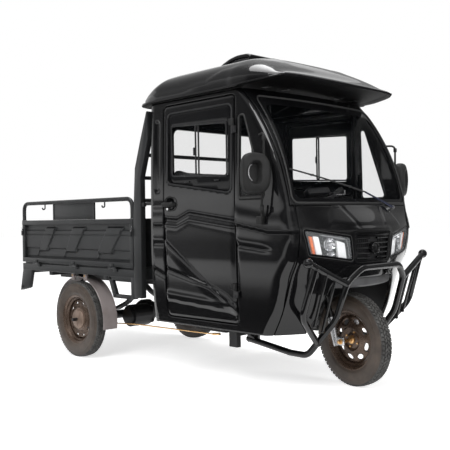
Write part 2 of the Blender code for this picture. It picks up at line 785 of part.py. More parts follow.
def shrunk(outline, amount):
    """A convex outline with each side moved inwards, or outwards below zero."""
    count = len(outline)
    centre = Vector((sum(p[0] for p in outline) / count, sum(p[1] for p in outline) / count))
    lines = []
    for index in range(count):
        start = Vector(outline[index])
        end = Vector(outline[(index + 1) % count])
        along = (end - start).normalized()
        inward = Vector((-along.y, along.x))
        if inward.dot(centre - start) < 0:
            inward = -inward
        lines.append((start + inward * amount, along))
    moved = []
    for index in range(count):
        point_a, along_a = lines[index - 1]
        point_b, along_b = lines[index]
        cross = along_a.x * along_b.y - along_a.y * along_b.x
        offset = point_b - point_a
        reach = (offset.x * along_b.y - offset.y * along_b.x) / cross
        moved.append(tuple(point_a + along_a * reach))
    return moved


def fitted(corners, radius, clearance=0.0):
    """A rounded outline, or the one that fits inside it all round with a clearance."""
    return rounded_outline(shrunk(corners, clearance), radius - clearance)


outer_form = cab_solid("outer_form", 0.0)
inner_form = cab_solid("inner_form", CAB_WALL, 0.05)
shell = copy_of(outer_form, "shell")
cut(shell, copy_of(inner_form, "hollow"))

DOOR = ((DOOR_FRONT, DOOR_BOTTOM), (DOOR_FRONT, DOOR_TOP), (DOOR_REAR, DOOR_TOP),
        (DOOR_REAR, DOOR_BOTTOM))
DOOR_WINDOW = ((0.415, 1.075), (0.415, 1.560), (0.955, 1.560), (0.955, 1.150))
QUARTER_WINDOW = ((0.362, 1.045), (0.362, 1.490), (0.322, 1.490), (0.170, 1.045))
SCREEN_HALF_LOW = PILLAR_X - 0.014
SCREEN_HALF_TOP = PILLAR_X - 0.036


def door_cutter(grow):
    """The door's outline as a tool that reaches right through one side of the cab."""
    return prism("door_cutter", fitted(DOOR, DOOR_CORNER, -grow), "X", 0.450, 0.650)


def windscreen_outline(shrink):
    """The windscreen's outline seen from the front."""
    top = CAB_TOP - 0.045
    corners = ((-SCREEN_HALF_LOW, SCREEN_BOTTOM + 0.008), (SCREEN_HALF_LOW, SCREEN_BOTTOM + 0.008),
               (SCREEN_HALF_TOP, top), (-SCREEN_HALF_TOP, top))
    return fitted(corners, 0.040, shrink)


def arch_outline(shrink):
    """The front wheel's arch seen from the front."""
    low = CAB_BOTTOM - 0.100
    corners = ((-ARCH_HALF_BOTTOM - 0.010, low), (-ARCH_HALF_TOP, ARCH_TOP),
               (ARCH_HALF_TOP, ARCH_TOP), (ARCH_HALF_BOTTOM + 0.010, low))
    return fitted(corners, 0.060, shrink)


# Nose: the fascia between the two seams, with the wheel arch and lamp places cut out

Lamp = namedtuple("Lamp", "x_in z_in_low z_in_high x_out z_out_low z_out_high")
LAMP = Lamp(0.172, 0.700, 0.838, 0.492, 0.742, 0.884)
GRILLE_HALF = 0.155


def lamp_outline(shrink):
    """A headlamp's outline seen from the front, on the left side."""
    corners = ((LAMP.x_in - 0.004, LAMP.z_in_low), (LAMP.x_in + 0.020, LAMP.z_in_high),
               (LAMP.x_out, LAMP.z_out_high), (LAMP.x_out - 0.045, LAMP.z_out_low))
    return fitted(corners, 0.018, shrink)


def grille_outline(shrink):
    """The grille's outline between the lamps, seen from the front."""
    corners = ((-GRILLE_HALF + 0.012, 0.696), (-GRILLE_HALF - 0.006, 0.836),
               (GRILLE_HALF + 0.006, 0.836), (GRILLE_HALF - 0.012, 0.696))
    return fitted(corners, 0.012, shrink)


def mirror_outline(outline):
    """The same outline on the other side."""
    return [(-a, b) for a, b in outline][::-1]


def build_nose():
    """The front panel from the seam on one side to the seam on the other."""
    nose = copy_of(shell, "nose_panel", GLOSS_BLACK)
    common(nose, box("front_part", (-SEAM_X, -0.30, CAB_BOTTOM - 0.01),
                     (SEAM_X, 0.36, HOOD_EDGE)))
    cut(nose, prism("arch", arch_outline(0.0), "Y", -0.40, 0.60))
    for outline in (lamp_outline(0.0), mirror_outline(lamp_outline(0.0))):
        cut(nose, prism("lamp_place", outline, "Y", -0.40, 0.20))
    cut(nose, prism("grille_place", grille_outline(0.0), "Y", -0.40, 0.10))
    smooth(nose)


build_nose()


def front_insert(name, outline, depth, proud, paint):
    """A piece that fills an opening of the nose and follows its curve."""
    piece = prism(name, outline, "Y", -0.20, 0.14, paint)
    front = cab_solid("front_skin", -proud)
    common(piece, front)
    back = cab_solid("back_skin", depth, 0.05)
    cut(piece, back)
    return piece


def build_lamps():
    """Headlamps: a black bezel tray with a clear lens and the lamp inside."""
    left = front_insert("headlamp_left", lamp_outline(SEAT_GAP), 0.045, 0.004, LAMP_GLASS)
    mirrored(left, "headlamp_right", LAMP_GLASS)
    smooth(left)
    smooth(bpy.data.objects["headlamp_right"])


build_lamps()


def build_grille():
    """Grille plate with rows of slots around a plain round boss."""
    grille = front_insert("grille", grille_outline(SEAT_GAP), 0.018, -0.004, TRIM_BLACK)
    slot_height = 0.014
    rows = 4
    pitch = (0.836 - 0.696 - 0.024) / rows
    for row in range(rows):
        z = 0.712 + pitch * (row + 0.35)
        for side in (-1, 1):
            low_x, high_x = sorted((side * 0.045, side * (GRILLE_HALF - 0.020)))
            cut(grille, box("slot", (low_x, -0.20, z), (high_x, 0.10, z + slot_height)))
    join(grille, rod("boss", (0, -0.124, 0.768), (0, -0.100, 0.768), 0.034, sides=24))
    smooth(grille)


build_grille()


# Windscreen and its frame

def build_windscreen():
    """Curved glass with a black border cut back from its frame's opening."""
    pane = prism("windscreen", windscreen_outline(SEAT_GAP), "Y", -0.20, 0.45, CLEAR_GLASS)
    common(pane, cab_solid("pane_front", 0.004))
    cut(pane, cab_solid("pane_back", 0.010, 0.05))
    cut(pane, box("behind", (-0.6, 0.5, 0.9), (0.6, 1.3, 1.7)))
    smooth(pane)
    header = copy_of(shell, "screen_frame", GLOSS_BLACK)
    common(header, box("screen_zone", (-PILLAR_X, -0.10, HOOD_EDGE + SEAT_GAP),
                       (PILLAR_X, DOOR_FRONT - 0.015, CAB_TOP + 0.01)))
    cut(header, prism("screen_hole", windscreen_outline(0.0), "Y", -0.30, 0.60))
    smooth(header)


build_windscreen()


# Cab sides: A-pillar with the front quarter, sill, header and rear quarter

def build_side():
    """One side frame of the cab around its door, on the left, and its mirror image."""
    side = copy_of(shell, "side_frame_left", GLOSS_BLACK)
    common(side, box("side_zone", (SEAM_X + SEAT_GAP, -0.20, CAB_BOTTOM - 0.01),
                     (0.70, 1.090, CAB_TOP + 0.01)))
    cut(side, box("screen_side", (0, -0.20, HOOD_EDGE),
                  (PILLAR_X + SEAT_GAP, DOOR_FRONT - 0.015 + SEAT_GAP, CAB_TOP + 0.02)))
    cut(side, door_cutter(0.0))
    cut(side, prism("quarter_hole", rounded_outline(QUARTER_WINDOW, 0.018), "X", 0.45, 0.65))
    pane = prism("quarter_glass_left", fitted(QUARTER_WINDOW, 0.018, SEAT_GAP),
                 "X", 0.45, 0.65, CLEAR_GLASS)
    common(pane, cab_solid("glass_out", 0.006))
    cut(pane, cab_solid("glass_in", 0.012, 0.05))
    for height in DOOR_HINGE_HEIGHTS:
        lower = (HINGE_X, HINGE_Y, height - KNUCKLE_LENGTH / 2 - SEAT_GAP / 2)
        join(side, knuckle((0, 0, 1), lower, (-0.020, -0.014, 0)))
    mirrored(side, "side_frame_right", GLOSS_BLACK)
    mirrored(pane, "quarter_glass_right", CLEAR_GLASS)
    for name in ("side_frame_left", "side_frame_right"):
        smooth(bpy.data.objects[name])


build_side()


def build_rear_wall():
    """The cab's back with its window, and the pane in it."""
    wall = copy_of(shell, "rear_wall", GLOSS_BLACK)
    common(wall, box("rear_zone", (-0.70, 1.090 + SEAT_GAP, CAB_BOTTOM - 0.01),
                     (0.70, 1.30, CAB_TOP + 0.01)))
    cut(wall, box("rail_notch", (-0.30, 1.0, 0.2), (0.30, 1.3, FLOOR_Z)))
    window = ((-0.36, 1.10), (-0.36, 1.50), (0.36, 1.50), (0.36, 1.10))
    cut(wall, prism("rear_hole", rounded_outline(window, 0.04), "Y", 1.0, 1.3))
    pane_y = CAB_SECTIONS[0].rear_y - CAB_WALL / 2
    prism("rear_glass", fitted(window, 0.040, SEAT_GAP), "Y",
          pane_y - PANE_THICKNESS / 2, pane_y + PANE_THICKNESS / 2, CLEAR_GLASS)
    smooth(wall)


build_rear_wall()


# Doors: front-hinged, each with a window of two sliding panes



def build_door():
    """The left door and its glass, and their mirror images on the right."""
    door = copy_of(outer_form, "door_left", GLOSS_BLACK)
    inner = prism("door_inner", fitted(DOOR, DOOR_CORNER, PANEL_GAP), "X",
                  DOOR_INSIDE_X, 0.70)
    common(door, inner)
    pocket = ((0.440, 0.420), (0.440, 1.000), (0.940, 1.040), (0.940, 0.420))
    cut(door, prism("pocket", rounded_outline(pocket, 0.03), "X", 0.40, 0.538))
    cut(door, prism("window_hole", rounded_outline(DOOR_WINDOW, WINDOW_CORNER), "X", 0.45, 0.65))
    handle_y = DOOR_REAR - 0.085
    handle_z = 1.022
    join(door, rod("dish", (0.545, handle_y - 0.02, handle_z), (0.570, handle_y - 0.02, handle_z),
                   0.034, sides=20))
    join(door, box("grip", (0.560, handle_y - 0.045, handle_z - 0.010),
                   (0.588, handle_y + 0.070, handle_z + 0.012), bevel=0.006))
    for height in DOOR_HINGE_HEIGHTS:
        upper = (HINGE_X, HINGE_Y, height + KNUCKLE_LENGTH / 2 + SEAT_GAP / 2)
        join(door, knuckle((0, 0, 1), upper, (-0.020, 0.014, 0)))
    pane_x = 0.536
    glass = prism("door_glass_left", fitted(DOOR_WINDOW, WINDOW_CORNER, SEAT_GAP), "X",
                  pane_x, pane_x + PANE_THICKNESS, CLEAR_GLASS)
    right = mirrored(door, "door_right", GLOSS_BLACK)
    right_glass = mirrored(glass, "door_glass_right", CLEAR_GLASS)
    smooth(door)
    smooth(right)
    for item, sign in ((door, 1), (glass, 1), (right, -1), (right_glass, -1)):
        pivot(item, (sign * HINGE_X, HINGE_Y, 1.0))


build_door()


# Roof: sections across the vehicle from the visor's lip to the rear edge

RoofSection = namedtuple("RoofSection", "y half cap_half edge_z crown_z ceiling_z")
ROOF_SECTIONS = (
    RoofSection(0.090, 0.500, 0.488, 1.680, 1.693, 1.676),
    RoofSection(0.130, 0.535, 0.520, 1.672, 1.716, 1.668),
    RoofSection(0.200, 0.560, 0.545, 1.664, 1.764, 1.660),
    RoofSection(0.300, 0.582, 0.560, 1.656, 1.813, 1.650),
    RoofSection(0.400, 0.580, 0.558, 1.652, 1.842, CAB_TOP + SEAT_GAP),
    RoofSection(0.460, 0.578, 0.552, 1.651, 1.846, 1.812),
    RoofSection(0.700, 0.576, 0.548, 1.650, 1.846, 1.812),
    RoofSection(0.950, 0.575, 0.545, 1.650, 1.845, 1.811),
    RoofSection(1.060, 0.574, 0.545, 1.650, 1.842, 1.808),
    RoofSection(1.120, 0.570, 0.540, 1.650, 1.826, CAB_TOP + SEAT_GAP),
    RoofSection(1.170, 0.558, 0.530, 1.650, 1.795, CAB_TOP + SEAT_GAP),
    RoofSection(1.215, 0.535, 0.510, 1.650, 1.748, CAB_TOP + SEAT_GAP),
    RoofSection(1.250, 0.500, 0.475, 1.650, 1.696, CAB_TOP + SEAT_GAP),
    RoofSection(1.268, 0.450, 0.420, 1.650, 1.662, CAB_TOP + SEAT_GAP),
)
ROOF_POWER = 3.0
ROOF_ACROSS = 8


def roof_height(section, x):
    """Height of the roof's top surface at a place across one section."""
    share = min(abs(x) / section.cap_half, 1.0)
    rise = (1 - share ** ROOF_POWER) ** (1 / ROOF_POWER)
    return section.edge_z + (section.crown_z - section.edge_z) * rise


def roof_ring(section):
    """One section: the top from right to left, then the underside back again."""
    stations = []
    for step in range(ROOF_ACROSS + 1):
        angle = math.pi / 2 * step / ROOF_ACROSS
        stations.append(section.cap_half * math.sin(angle) ** 0.8)
    xs = [-section.half] + [-x for x in stations[::-1]] + stations[1:] + [section.half]
    top = [(x, section.y, roof_height(section, x)) for x in xs]
    flange = CAB_TOP + SEAT_GAP
    low = flange if section.y > 0.35 else section.edge_z - 0.010
    under = []
    for x in xs[::-1]:
        ceiling = min(section.ceiling_z, roof_height(section, x) - 0.016)
        inside = abs(x) < section.cap_half - 0.030
        under.append((x, section.y, max(ceiling, low) if inside else low))
    return top + under


def build_roof():
    """Roof cap with its gutter edge and the visor over the windscreen."""
    roof = loft("roof", [roof_ring(section) for section in ROOF_SECTIONS], GLOSS_BLACK)
    smooth(roof)
    scoop_points = ((0.588, 1.815, 1.898, 0.205), (0.606, 1.815, 1.915, 0.222),
                    (0.680, 1.815, 1.916, 0.226), (0.740, 1.815, 1.908, 0.226),
                    (0.800, 1.815, 1.892, 0.222), (0.860, 1.815, 1.874, 0.210),
                    (0.930, 1.815, 1.856, 0.180))
    rings = []
    for y, low, high, half in scoop_points:
        corners = ((-half, low), (-half, high), (half, high), (half, low))
        edge = min(0.016, (high - low) * 0.42)
        rings.append([(a, y, b) for a, b in rounded_outline(corners, edge, 3)])
    scoop = loft("roof_scoop", rings, GLOSS_BLACK)
    below = copy_of(roof, "roof_below")
    below.data.transform(Matrix.Translation((0, 0, SEAT_GAP)))
    cut(scoop, below)
    smooth(scoop)


build_roof()


# Cab inside: floor with the wheel housing, dashboard and seat

def build_floor():
    """Floor pan with the front wheel's housing let into it."""
    half = CAB_SECTIONS[1].half_width - CAB_WALL - 0.030
    top = FLOOR_Z + FLOOR_THICKNESS
    rear = CAB_SECTIONS[0].rear_y - CAB_WALL - SEAT_GAP
    front = 0.190
    floor = box("floor_pan", (-half, front, FLOOR_Z), (half, rear, top), SATIN_GREY)
    common(floor, cab_solid("floor_edge", CAB_WALL + SEAT_GAP, 0.05))
    housing = prism("housing", arch_outline(-0.010), "Y", -0.030, ARCH_REAR + 0.010)
    common(housing, cab_solid("housing_edge", CAB_WALL + SEAT_GAP, 0.05))
    join(floor, housing)
    cut(floor, prism("housing_hollow", arch_outline(0.0), "Y", -0.20, ARCH_REAR))
    cut(floor, box("below", (-0.7, -0.2, 0.1), (0.7, 1.4, FLOOR_Z)))
    cut(floor, rod("steering_hole", on_head_axis(0.50), on_head_axis(0.90),
                   STEER_HOLE_RADIUS, sides=24))
    smooth(floor)


build_floor()


def build_dashboard():
    """Dashboard shelf under the windscreen with a front face over the knees."""
    outline = rounded_outline(((-0.060, 0.900), (-0.060, 0.985), (0.120, 0.985), (0.205, 0.940),
                               (0.190, 0.880)), 0.015, 3)
    dash = prism("dashboard", outline, "X", -0.495, 0.495, TRIM_BLACK)
    common(dash, cab_solid("dash_edge", CAB_WALL + SEAT_GAP))
    cut(dash, rod("column_hole", on_head_axis(0.70), on_head_axis(1.10), 0.075, sides=20))
    smooth(dash)


build_dashboard()


def build_seat():
    """Seat box, cushion and back rest with its head rest."""
    floor_top = FLOOR_Z + FLOOR_THICKNESS + SEAT_GAP
    base = box("seat_box", (-0.40, 0.680, floor_top), (0.40, 1.100, 0.600), TRIM_BLACK, bevel=0.012)
    cushion = box("seat_cushion", (-0.40, 0.640, 0.600 + SEAT_GAP), (0.40, 1.010, 0.700),
                  SEAT_VINYL, bevel=0.030)
    rear = CAB_SECTIONS[0].rear_y - CAB_WALL - SEAT_GAP
    back = prism("seat_back", rounded_outline(((1.012, 0.640), (1.046, 1.260), (rear, 1.260),
                                               (rear, 0.640)), 0.025), "X", -0.40, 0.40,
                 SEAT_VINYL)
    cut(back, box("cushion_place", (-0.5, 0.9, 0.60), (0.5, 1.2, 0.700 + SEAT_GAP)))
    for item in (base, cushion, back):
        smooth(item)


build_seat()


# Cargo bed: floor, frame with its legs, drop sides, tailgate and head board

DROP_HINGE_X = BED_HALF + 0.010
DROP_HINGE_Z = BED_FLOOR_TOP - 0.001
GATE_HINGE_Y = BED_REAR + 0.010


def build_bed():
    """Bed frame of box beams with corner posts and legs, and the floor sheet on it."""
    frame = None
    beam = 0.045
    floor_under = BED_FLOOR_TOP - BED_FLOOR_THICKNESS
    top = floor_under - SEAT_GAP
    for side in (-1, 1):
        low_x, high_x = sorted((side * (BED_HALF - beam), side * (BED_HALF - 0.004)))
        rail = box("bed_frame", (low_x, BED_FRONT + 0.010, FRAME_BOTTOM), (high_x, BED_REAR, top),
                   SATIN_GREY if frame is None else None)
        frame = rail if frame is None else join(frame, rail)
    for y in (BED_FRONT + 0.032, 1.62, 2.30, BED_REAR - 0.022):
        join(frame, box("beam", (-BED_HALF + 0.010, y - 0.022, BED_RAIL_TOP + SEAT_GAP),
                        (BED_HALF - 0.010, y + 0.022, top)))
    for side in (-1, 1):
        low_x, high_x = sorted((side * (BED_HALF - 0.034), side * (BED_HALF - 0.006)))
        gusset = ((2.560, FRAME_BOTTOM + 0.01), (BED_REAR, FRAME_BOTTOM + 0.01),
                  (BED_REAR + REAR_LEG_REACH, 0.416), (2.600, 0.441))
        join(frame, prism("rear_leg", gusset, "X", low_x, high_x))
        leg = ((BED_FRONT + 0.012, FRAME_BOTTOM + 0.01), (BED_FRONT + 0.052, FRAME_BOTTOM + 0.01),
               (BED_FRONT + 0.052, 0.440), (BED_FRONT + 0.012, 0.440))
        join(frame, prism("front_leg", leg, "X", low_x, high_x))
        bracket = ((BED_FRONT + 0.040, 0.437), (BED_FRONT + 0.040, FRAME_BOTTOM + 0.005),
                   (1.590, FRAME_BOTTOM + 0.005), (1.530, 0.437))
        tray = prism("bracket", bracket, "X", low_x, high_x)
        cut(tray, prism("bracket_hole", rounded_outline(
            ((BED_FRONT + 0.060, 0.462), (BED_FRONT + 0.060, 0.550), (1.530, 0.550), (1.500, 0.462)),
            0.010, 2), "X", -0.7, 0.7))
        join(frame, tray)
    for place in DROP_HINGE_PLACES:
        for side in (-1, 1):
            spot = (side * DROP_HINGE_X, place - KNUCKLE_LENGTH / 2 - SEAT_GAP / 2, DROP_HINGE_Z)
            join(frame, knuckle((0, 1, 0), spot, (-side * 0.018, 0, -0.016)))
    for place in GATE_HINGE_PLACES:
        spot = (place - KNUCKLE_LENGTH / 2 - SEAT_GAP / 2, GATE_HINGE_Y, DROP_HINGE_Z)
        join(frame, knuckle((1, 0, 0), spot, (0, -0.018, -0.016)))
    inside = BED_HALF - PANEL_THICKNESS - 0.006
    floor = box("bed_floor", (-inside, BED_FRONT + 0.034, floor_under),
                (inside, BED_REAR - PANEL_THICKNESS - 0.006, BED_FLOOR_TOP), SATIN_GREY)
    smooth(frame)
    smooth(floor)


build_bed()


def pressed_panel(name, low_y, high_y, low_z, high_z, paint):
    """A pressed drop side: a folded rim round a thinner field with raised ribs."""
    panel = box(name, (0, low_y, low_z), (PANEL_THICKNESS, high_y, high_z), paint)
    rim = 0.034
    depth = PANEL_THICKNESS - PANEL_SKIN
    cut(panel, box("inner_field", (-0.01, low_y + rim, low_z + rim),
                   (depth - 0.010, high_y - rim, high_z - rim)))
    cut(panel, box("outer_field", (depth - 0.007, low_y + rim, low_z + rim),
                   (PANEL_THICKNESS + 0.01, high_y - rim, high_z - rim)))
    height = high_z - low_z - 2 * rim
    count = 3
    pitch = (high_y - low_y - 2 * rim) / count
    for index in range(count):
        start = low_y + rim + pitch * index + 0.02
        upper = ((start + 0.05, high_z - rim + 0.004), (start + pitch - 0.06, high_z - rim + 0.004),
                 (start + pitch - 0.11, high_z - rim - height * 0.32),
                 (start + 0.05, high_z - rim - height * 0.24))
        lower = ((start + 0.01, low_z + rim - 0.004), (start + pitch - 0.10, low_z + rim - 0.004),
                 (start + pitch - 0.10, low_z + rim + height * 0.20),
                 (start + 0.07, low_z + rim + height * 0.28))
        for outline in (upper, lower):
            join(panel, prism("rib", outline, "X", depth - 0.009, PANEL_THICKNESS - 0.004))
    return panel


def build_drop_sides():
    """Pressed side panels with their rails, hinged along the bottom outer edge."""
    low_z = BED_FLOOR_TOP + 0.004
    side = pressed_panel("side_panel_left", DROP_LOW_Y, DROP_HIGH_Y, low_z, PANEL_TOP, SATIN_GREY)
    side.data.transform(Matrix.Translation((BED_HALF - PANEL_THICKNESS, 0, 0)))
    for place in DROP_HINGE_PLACES:
        join(side, knuckle((0, 1, 0), (DROP_HINGE_X, place + KNUCKLE_LENGTH / 2 + SEAT_GAP / 2,
                                       DROP_HINGE_Z), (-0.018, 0, 0.016)))
    rail_x = BED_HALF - PANEL_THICKNESS / 2
    rail_z = RAIL_TOP - RAIL_RADIUS
    start = PANEL_TOP + SEAT_GAP
    front_y = DROP_LOW_Y + RAIL_RADIUS
    rear_y = DROP_HIGH_Y - RAIL_RADIUS
    path = ((rail_x, front_y, start), (rail_x, front_y, rail_z),
            (rail_x, rear_y, rail_z), (rail_x, rear_y, start))
    rail = tube("side_rail_left", path, RAIL_RADIUS, bend=0.070, paint=SATIN_GREY)
    join(rail, box("name_plate", (rail_x - 0.004, 1.735, start),
                   (rail_x + 0.004, 2.255, rail_z)))
    for y in (1.62, 2.37):
        join(rail, tube("hook", ((rail_x, y, rail_z), (rail_x, y, rail_z - 0.045),
                                 (rail_x + 0.020, y, rail_z - 0.045)), 0.005, bend=0.010, sides=6))
    right = mirrored(side, "side_panel_right", SATIN_GREY)
    right_rail = mirrored(rail, "side_rail_right", SATIN_GREY)
    for item, sign in ((side, 1), (rail, 1), (right, -1), (right_rail, -1)):
        smooth(item)
        pivot(item, (sign * DROP_HINGE_X, (DROP_LOW_Y + DROP_HIGH_Y) / 2, DROP_HINGE_Z))


build_drop_sides()


def build_tailgate():
    """The rear panel, hinged along its bottom outer edge."""
    half = BED_HALF - 0.040
    low_z = BED_FLOOR_TOP + 0.004
    gate = pressed_panel("tailgate", -half, half, low_z, PANEL_TOP, SATIN_GREY)
    turn = Matrix.Rotation(math.radians(90), 4, "Z")
    gate.data.transform(Matrix.Translation((0, BED_REAR - PANEL_THICKNESS, 0)) @ turn)
    for place in GATE_HINGE_PLACES:
        join(gate, knuckle((1, 0, 0), (place + KNUCKLE_LENGTH / 2 + SEAT_GAP / 2, GATE_HINGE_Y,
                                       DROP_HINGE_Z), (0, -0.018, 0.016)))
    smooth(gate)
    pivot(gate, (0, GATE_HINGE_Y, DROP_HINGE_Z))


build_tailgate()


def build_headboard():
    """Guard behind the cab: two posts that lean on the roof, bars and the bed's front wall."""
    guard = None
    half = POST_SIZE / 2
    post_x = BED_HALF - half
    for side in (-1, 1):
        low_x, high_x = sorted((side * (post_x - half), side * (post_x + half)))
        wall = CAB_SECTIONS[-1].rear_y + SEAT_GAP
        outline = ((POST_FRONT, POST_FOOT), (POST_FRONT - 0.006, 1.200), (wall, 1.430),
                   (wall, 1.600), (wall + 0.010, 1.600), (1.213, 1.434), (1.274, 1.259),
                   (POST_REAR - 0.010, 1.079), (POST_REAR, 0.948), (POST_REAR, POST_FOOT))
        post = prism("headboard", outline, "X", low_x, high_x,
                     SATIN_GREY if guard is None else None)
        guard = post if guard is None else join(guard, post)
    for z, post_y in ((1.060, 1.250), (1.200, 1.245), (1.340, 1.215)):
        join(guard, rod("bar", (-post_x, post_y, z), (post_x, post_y, z), 0.012))
    join(guard, box("front_wall", (-post_x, POST_REAR - 0.010, BED_FLOOR_TOP + 0.001),
                    (post_x, POST_REAR - 0.002, PANEL_TOP)))
    join(guard, box("foot", (-post_x, POST_REAR - 0.040, FRAME_BOTTOM - 0.015),
                    (post_x, POST_REAR, BED_FLOOR_TOP + 0.008)))
    smooth(guard)


build_headboard()


# Mudguards, tail lamps, bull bar, mirrors and wiper

def build_mudguards():
    """Curved guards over the rear wheels, hung under the bed."""
    steps = 12
    radius = TYRE_RADIUS + 0.030
    sheet = 0.004
    for name, side in (("mudguard_left", 1), ("mudguard_right", -1)):
        outer = []
        inner = []
        for step in range(steps + 1):
            angle = math.radians(-15 + 205 * step / steps)
            for ring, reach in ((outer, radius + sheet), (inner, radius)):
                ring.append((REAR_AXLE_Y + reach * math.cos(angle),
                             TYRE_RADIUS + reach * math.sin(angle)))
        low_x, high_x = sorted((side * (REAR_WHEEL_X - 0.100), side * (REAR_WHEEL_X + 0.014)))
        guard = prism(name, outer + inner[::-1], "X", low_x, high_x, GUARD_GREY)
        stay_x = sorted((side * (BED_HALF - 0.043), side * (BED_HALF - 0.024)))
        for y in (REAR_AXLE_Y - 0.090, REAR_AXLE_Y + 0.060):
            join(guard, box("stay", (stay_x[0], y, TYRE_RADIUS + radius - 0.030),
                            (stay_x[1], y + 0.030, FRAME_BOTTOM - SEAT_GAP)))
        cut(guard, rod("stay_trim", (-0.7, REAR_AXLE_Y, TYRE_RADIUS), (0.7, REAR_AXLE_Y, TYRE_RADIUS),
                       radius, sides=48))
        smooth(guard)


build_mudguards()


def build_tail_lamps():
    """Lamps on the rear legs of the bed frame."""
    for name, side in (("tail_lamp_left", 1), ("tail_lamp_right", -1)):
        low_x, high_x = sorted((side * (BED_HALF - 0.155), side * (BED_HALF - 0.040)))
        lamp = box(name, (low_x, BED_REAR + SEAT_GAP, FRAME_BOTTOM - 0.023),
                   (high_x, BED_REAR + 0.010, FRAME_BOTTOM + 0.019),
                   RED_LENS, bevel=0.003)
        smooth(lamp)


build_tail_lamps()


def build_bull_bar():
    """Hoop, side tubes, slats and two arms with ball ends, welded into one piece."""
    hoop_top = 0.671
    path = ((0.300, 0.250, 0.200), (0.300, 0.120, 0.198), (0.274, -0.052, 0.400),
            (0.262, -0.120, 0.600), (0.174, -0.150, hoop_top), (-0.174, -0.150, hoop_top),
            (-0.262, -0.120, 0.600), (-0.274, -0.052, 0.400), (-0.300, 0.120, 0.198),
            (-0.300, 0.250, 0.200))
    bar = tube("bull_bar", path, BAR_RADIUS, bend=0.035, paint=GLOSS_BLACK)
    for side in (-1, 1):
        join(bar, rod("run", (side * 0.300, 0.240, 0.200), (side * 0.300, 0.560, 0.245), BAR_RADIUS))
        plate_x = sorted((side * (CHASSIS_HALF + RAIL_WIDTH / 2 + SEAT_GAP), side * 0.312))
        join(bar, box("plate", (plate_x[0], 0.500, 0.226), (plate_x[1], 0.556, FLOOR_Z - 0.006)))
        join(bar, rod("arm", (side * 0.262, -0.116, 0.590), (side * 0.533, -0.085, 0.711),
                      BAR_RADIUS))
        join(bar, ball("arm_end", (side * 0.533, -0.085, 0.711), 0.026))
        join(bar, tube("side_tube", ((side * 0.482, -0.091, 0.684), (side * 0.495, -0.010, 0.430),
                                     (side * 0.292, 0.060, 0.270)), BAR_RADIUS, bend=0.05))
        for share in (0.35, 0.68):
            top = Vector((side * (0.27 + 0.21 * share), -0.105, 0.585 + 0.095 * share))
            low = Vector((side * (0.275 + 0.20 * share), -0.020, 0.310 + 0.100 * share))
            join(bar, rod("slat", top, low, 0.008, sides=6))
    smooth(bar)


build_bull_bar()


def build_mirrors():
    """Mirrors on bent tubes that stand out from the front corners."""
    arm = tube("mirror_left", ((0.561, 0.180, 0.930), (MIRROR_ROD_X, 0.165, 0.960),
                               (MIRROR_ROD_X, 0.140, 1.160), (MIRROR_ROD_X, 0.137, 1.372),
                               (0.540, 0.230, 1.372)), MIRROR_TUBE, bend=0.03,
               paint=TRIM_BLACK, sides=8)
    half = Vector((0.080, 0.030, 0.105))
    head = box("head", -half, half, bevel=0.026)
    head.data.transform(Matrix.Rotation(MIRROR_TURN, 4, "Z"))
    head.data.transform(Matrix.Translation((MIRROR_X, 0.135, 1.163)))
    join(arm, head)
    cut(arm, cab_solid("mirror_seat", -SEAT_GAP))
    right = mirrored(arm, "mirror_right", TRIM_BLACK)
    smooth(arm)
    smooth(right)


build_mirrors()


def skin_y(x, z):
    """How far back the cab's front surface lies at a place seen from the front."""
    for low, high in zip(CAB_SECTIONS, CAB_SECTIONS[1:]):
        if z <= high.height:
            break
    share = (z - low.height) / (high.height - low.height)
    nose = low.nose_y + (high.nose_y - low.nose_y) * share
    side = low.side_y + (high.side_y - low.side_y) * share
    half = low.half_width + (high.half_width - low.half_width) * share
    return nose + (side - nose) * (x / half) ** 2


def build_wiper():
    """Wiper with its spindle, arm and a blade that follows the windscreen's curve."""
    spindle = Vector((WIPER_SPINDLE_X, skin_y(WIPER_SPINDLE_X, WIPER_SPINDLE_Z), WIPER_SPINDLE_Z))
    boss = Vector((0, -0.030, 0.013))
    wiper = rod("wiper", spindle - boss * 0.5, spindle + boss, 0.013, TRIM_BLACK)
    blade = []
    for step in range(6):
        share = step / 5
        x = WIPER_ELBOW_X + (WIPER_TIP_X - WIPER_ELBOW_X) * share
        z = WIPER_ELBOW_Z + (WIPER_TIP_Z - WIPER_ELBOW_Z) * share
        blade.append((x, skin_y(x, z) - WIPER_LIFT, z))
    elbow = Vector(blade[0])
    heel = elbow + (elbow - Vector(blade[1])).normalized() * 0.012
    join(wiper, rod("arm", spindle + boss * 0.8, elbow, 0.007, end_radius=0.005))
    join(wiper, tube("blade", [heel] + blade[1:], 0.006, bend=0.010, sides=6))
    cut(wiper, cab_solid("wiper_seat", -SEAT_GAP))
    smooth(wiper)


build_wiper()

for tool in (outer_form, inner_form, shell):
    bpy.data.objects.remove(tool)


def centre_lengthwise():
    """Moves the whole vehicle so that the middle of its length lies over the origin."""
    bpy.context.view_layer.update()
    places = [(item.matrix_world @ vertex.co).y for item in bpy.context.scene.objects
              if item.type == "MESH" for vertex in item.data.vertices]
    front_axle_line.location.y = -(min(places) + max(places)) / 2
    bpy.context.view_layer.update()


centre_lengthwise()
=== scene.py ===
"""Looks of the enclosed electric cargo tricycle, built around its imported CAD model.

Metres. Places are given as in the CAD source: x from the middle (the vehicle's left is +X),
y backwards from the front axle line and z up from the ground. add_piece() moves each piece
into the row frame.
"""

import math

import bmesh
import bpy
from mathutils import Matrix, Vector, geometry

import numpy


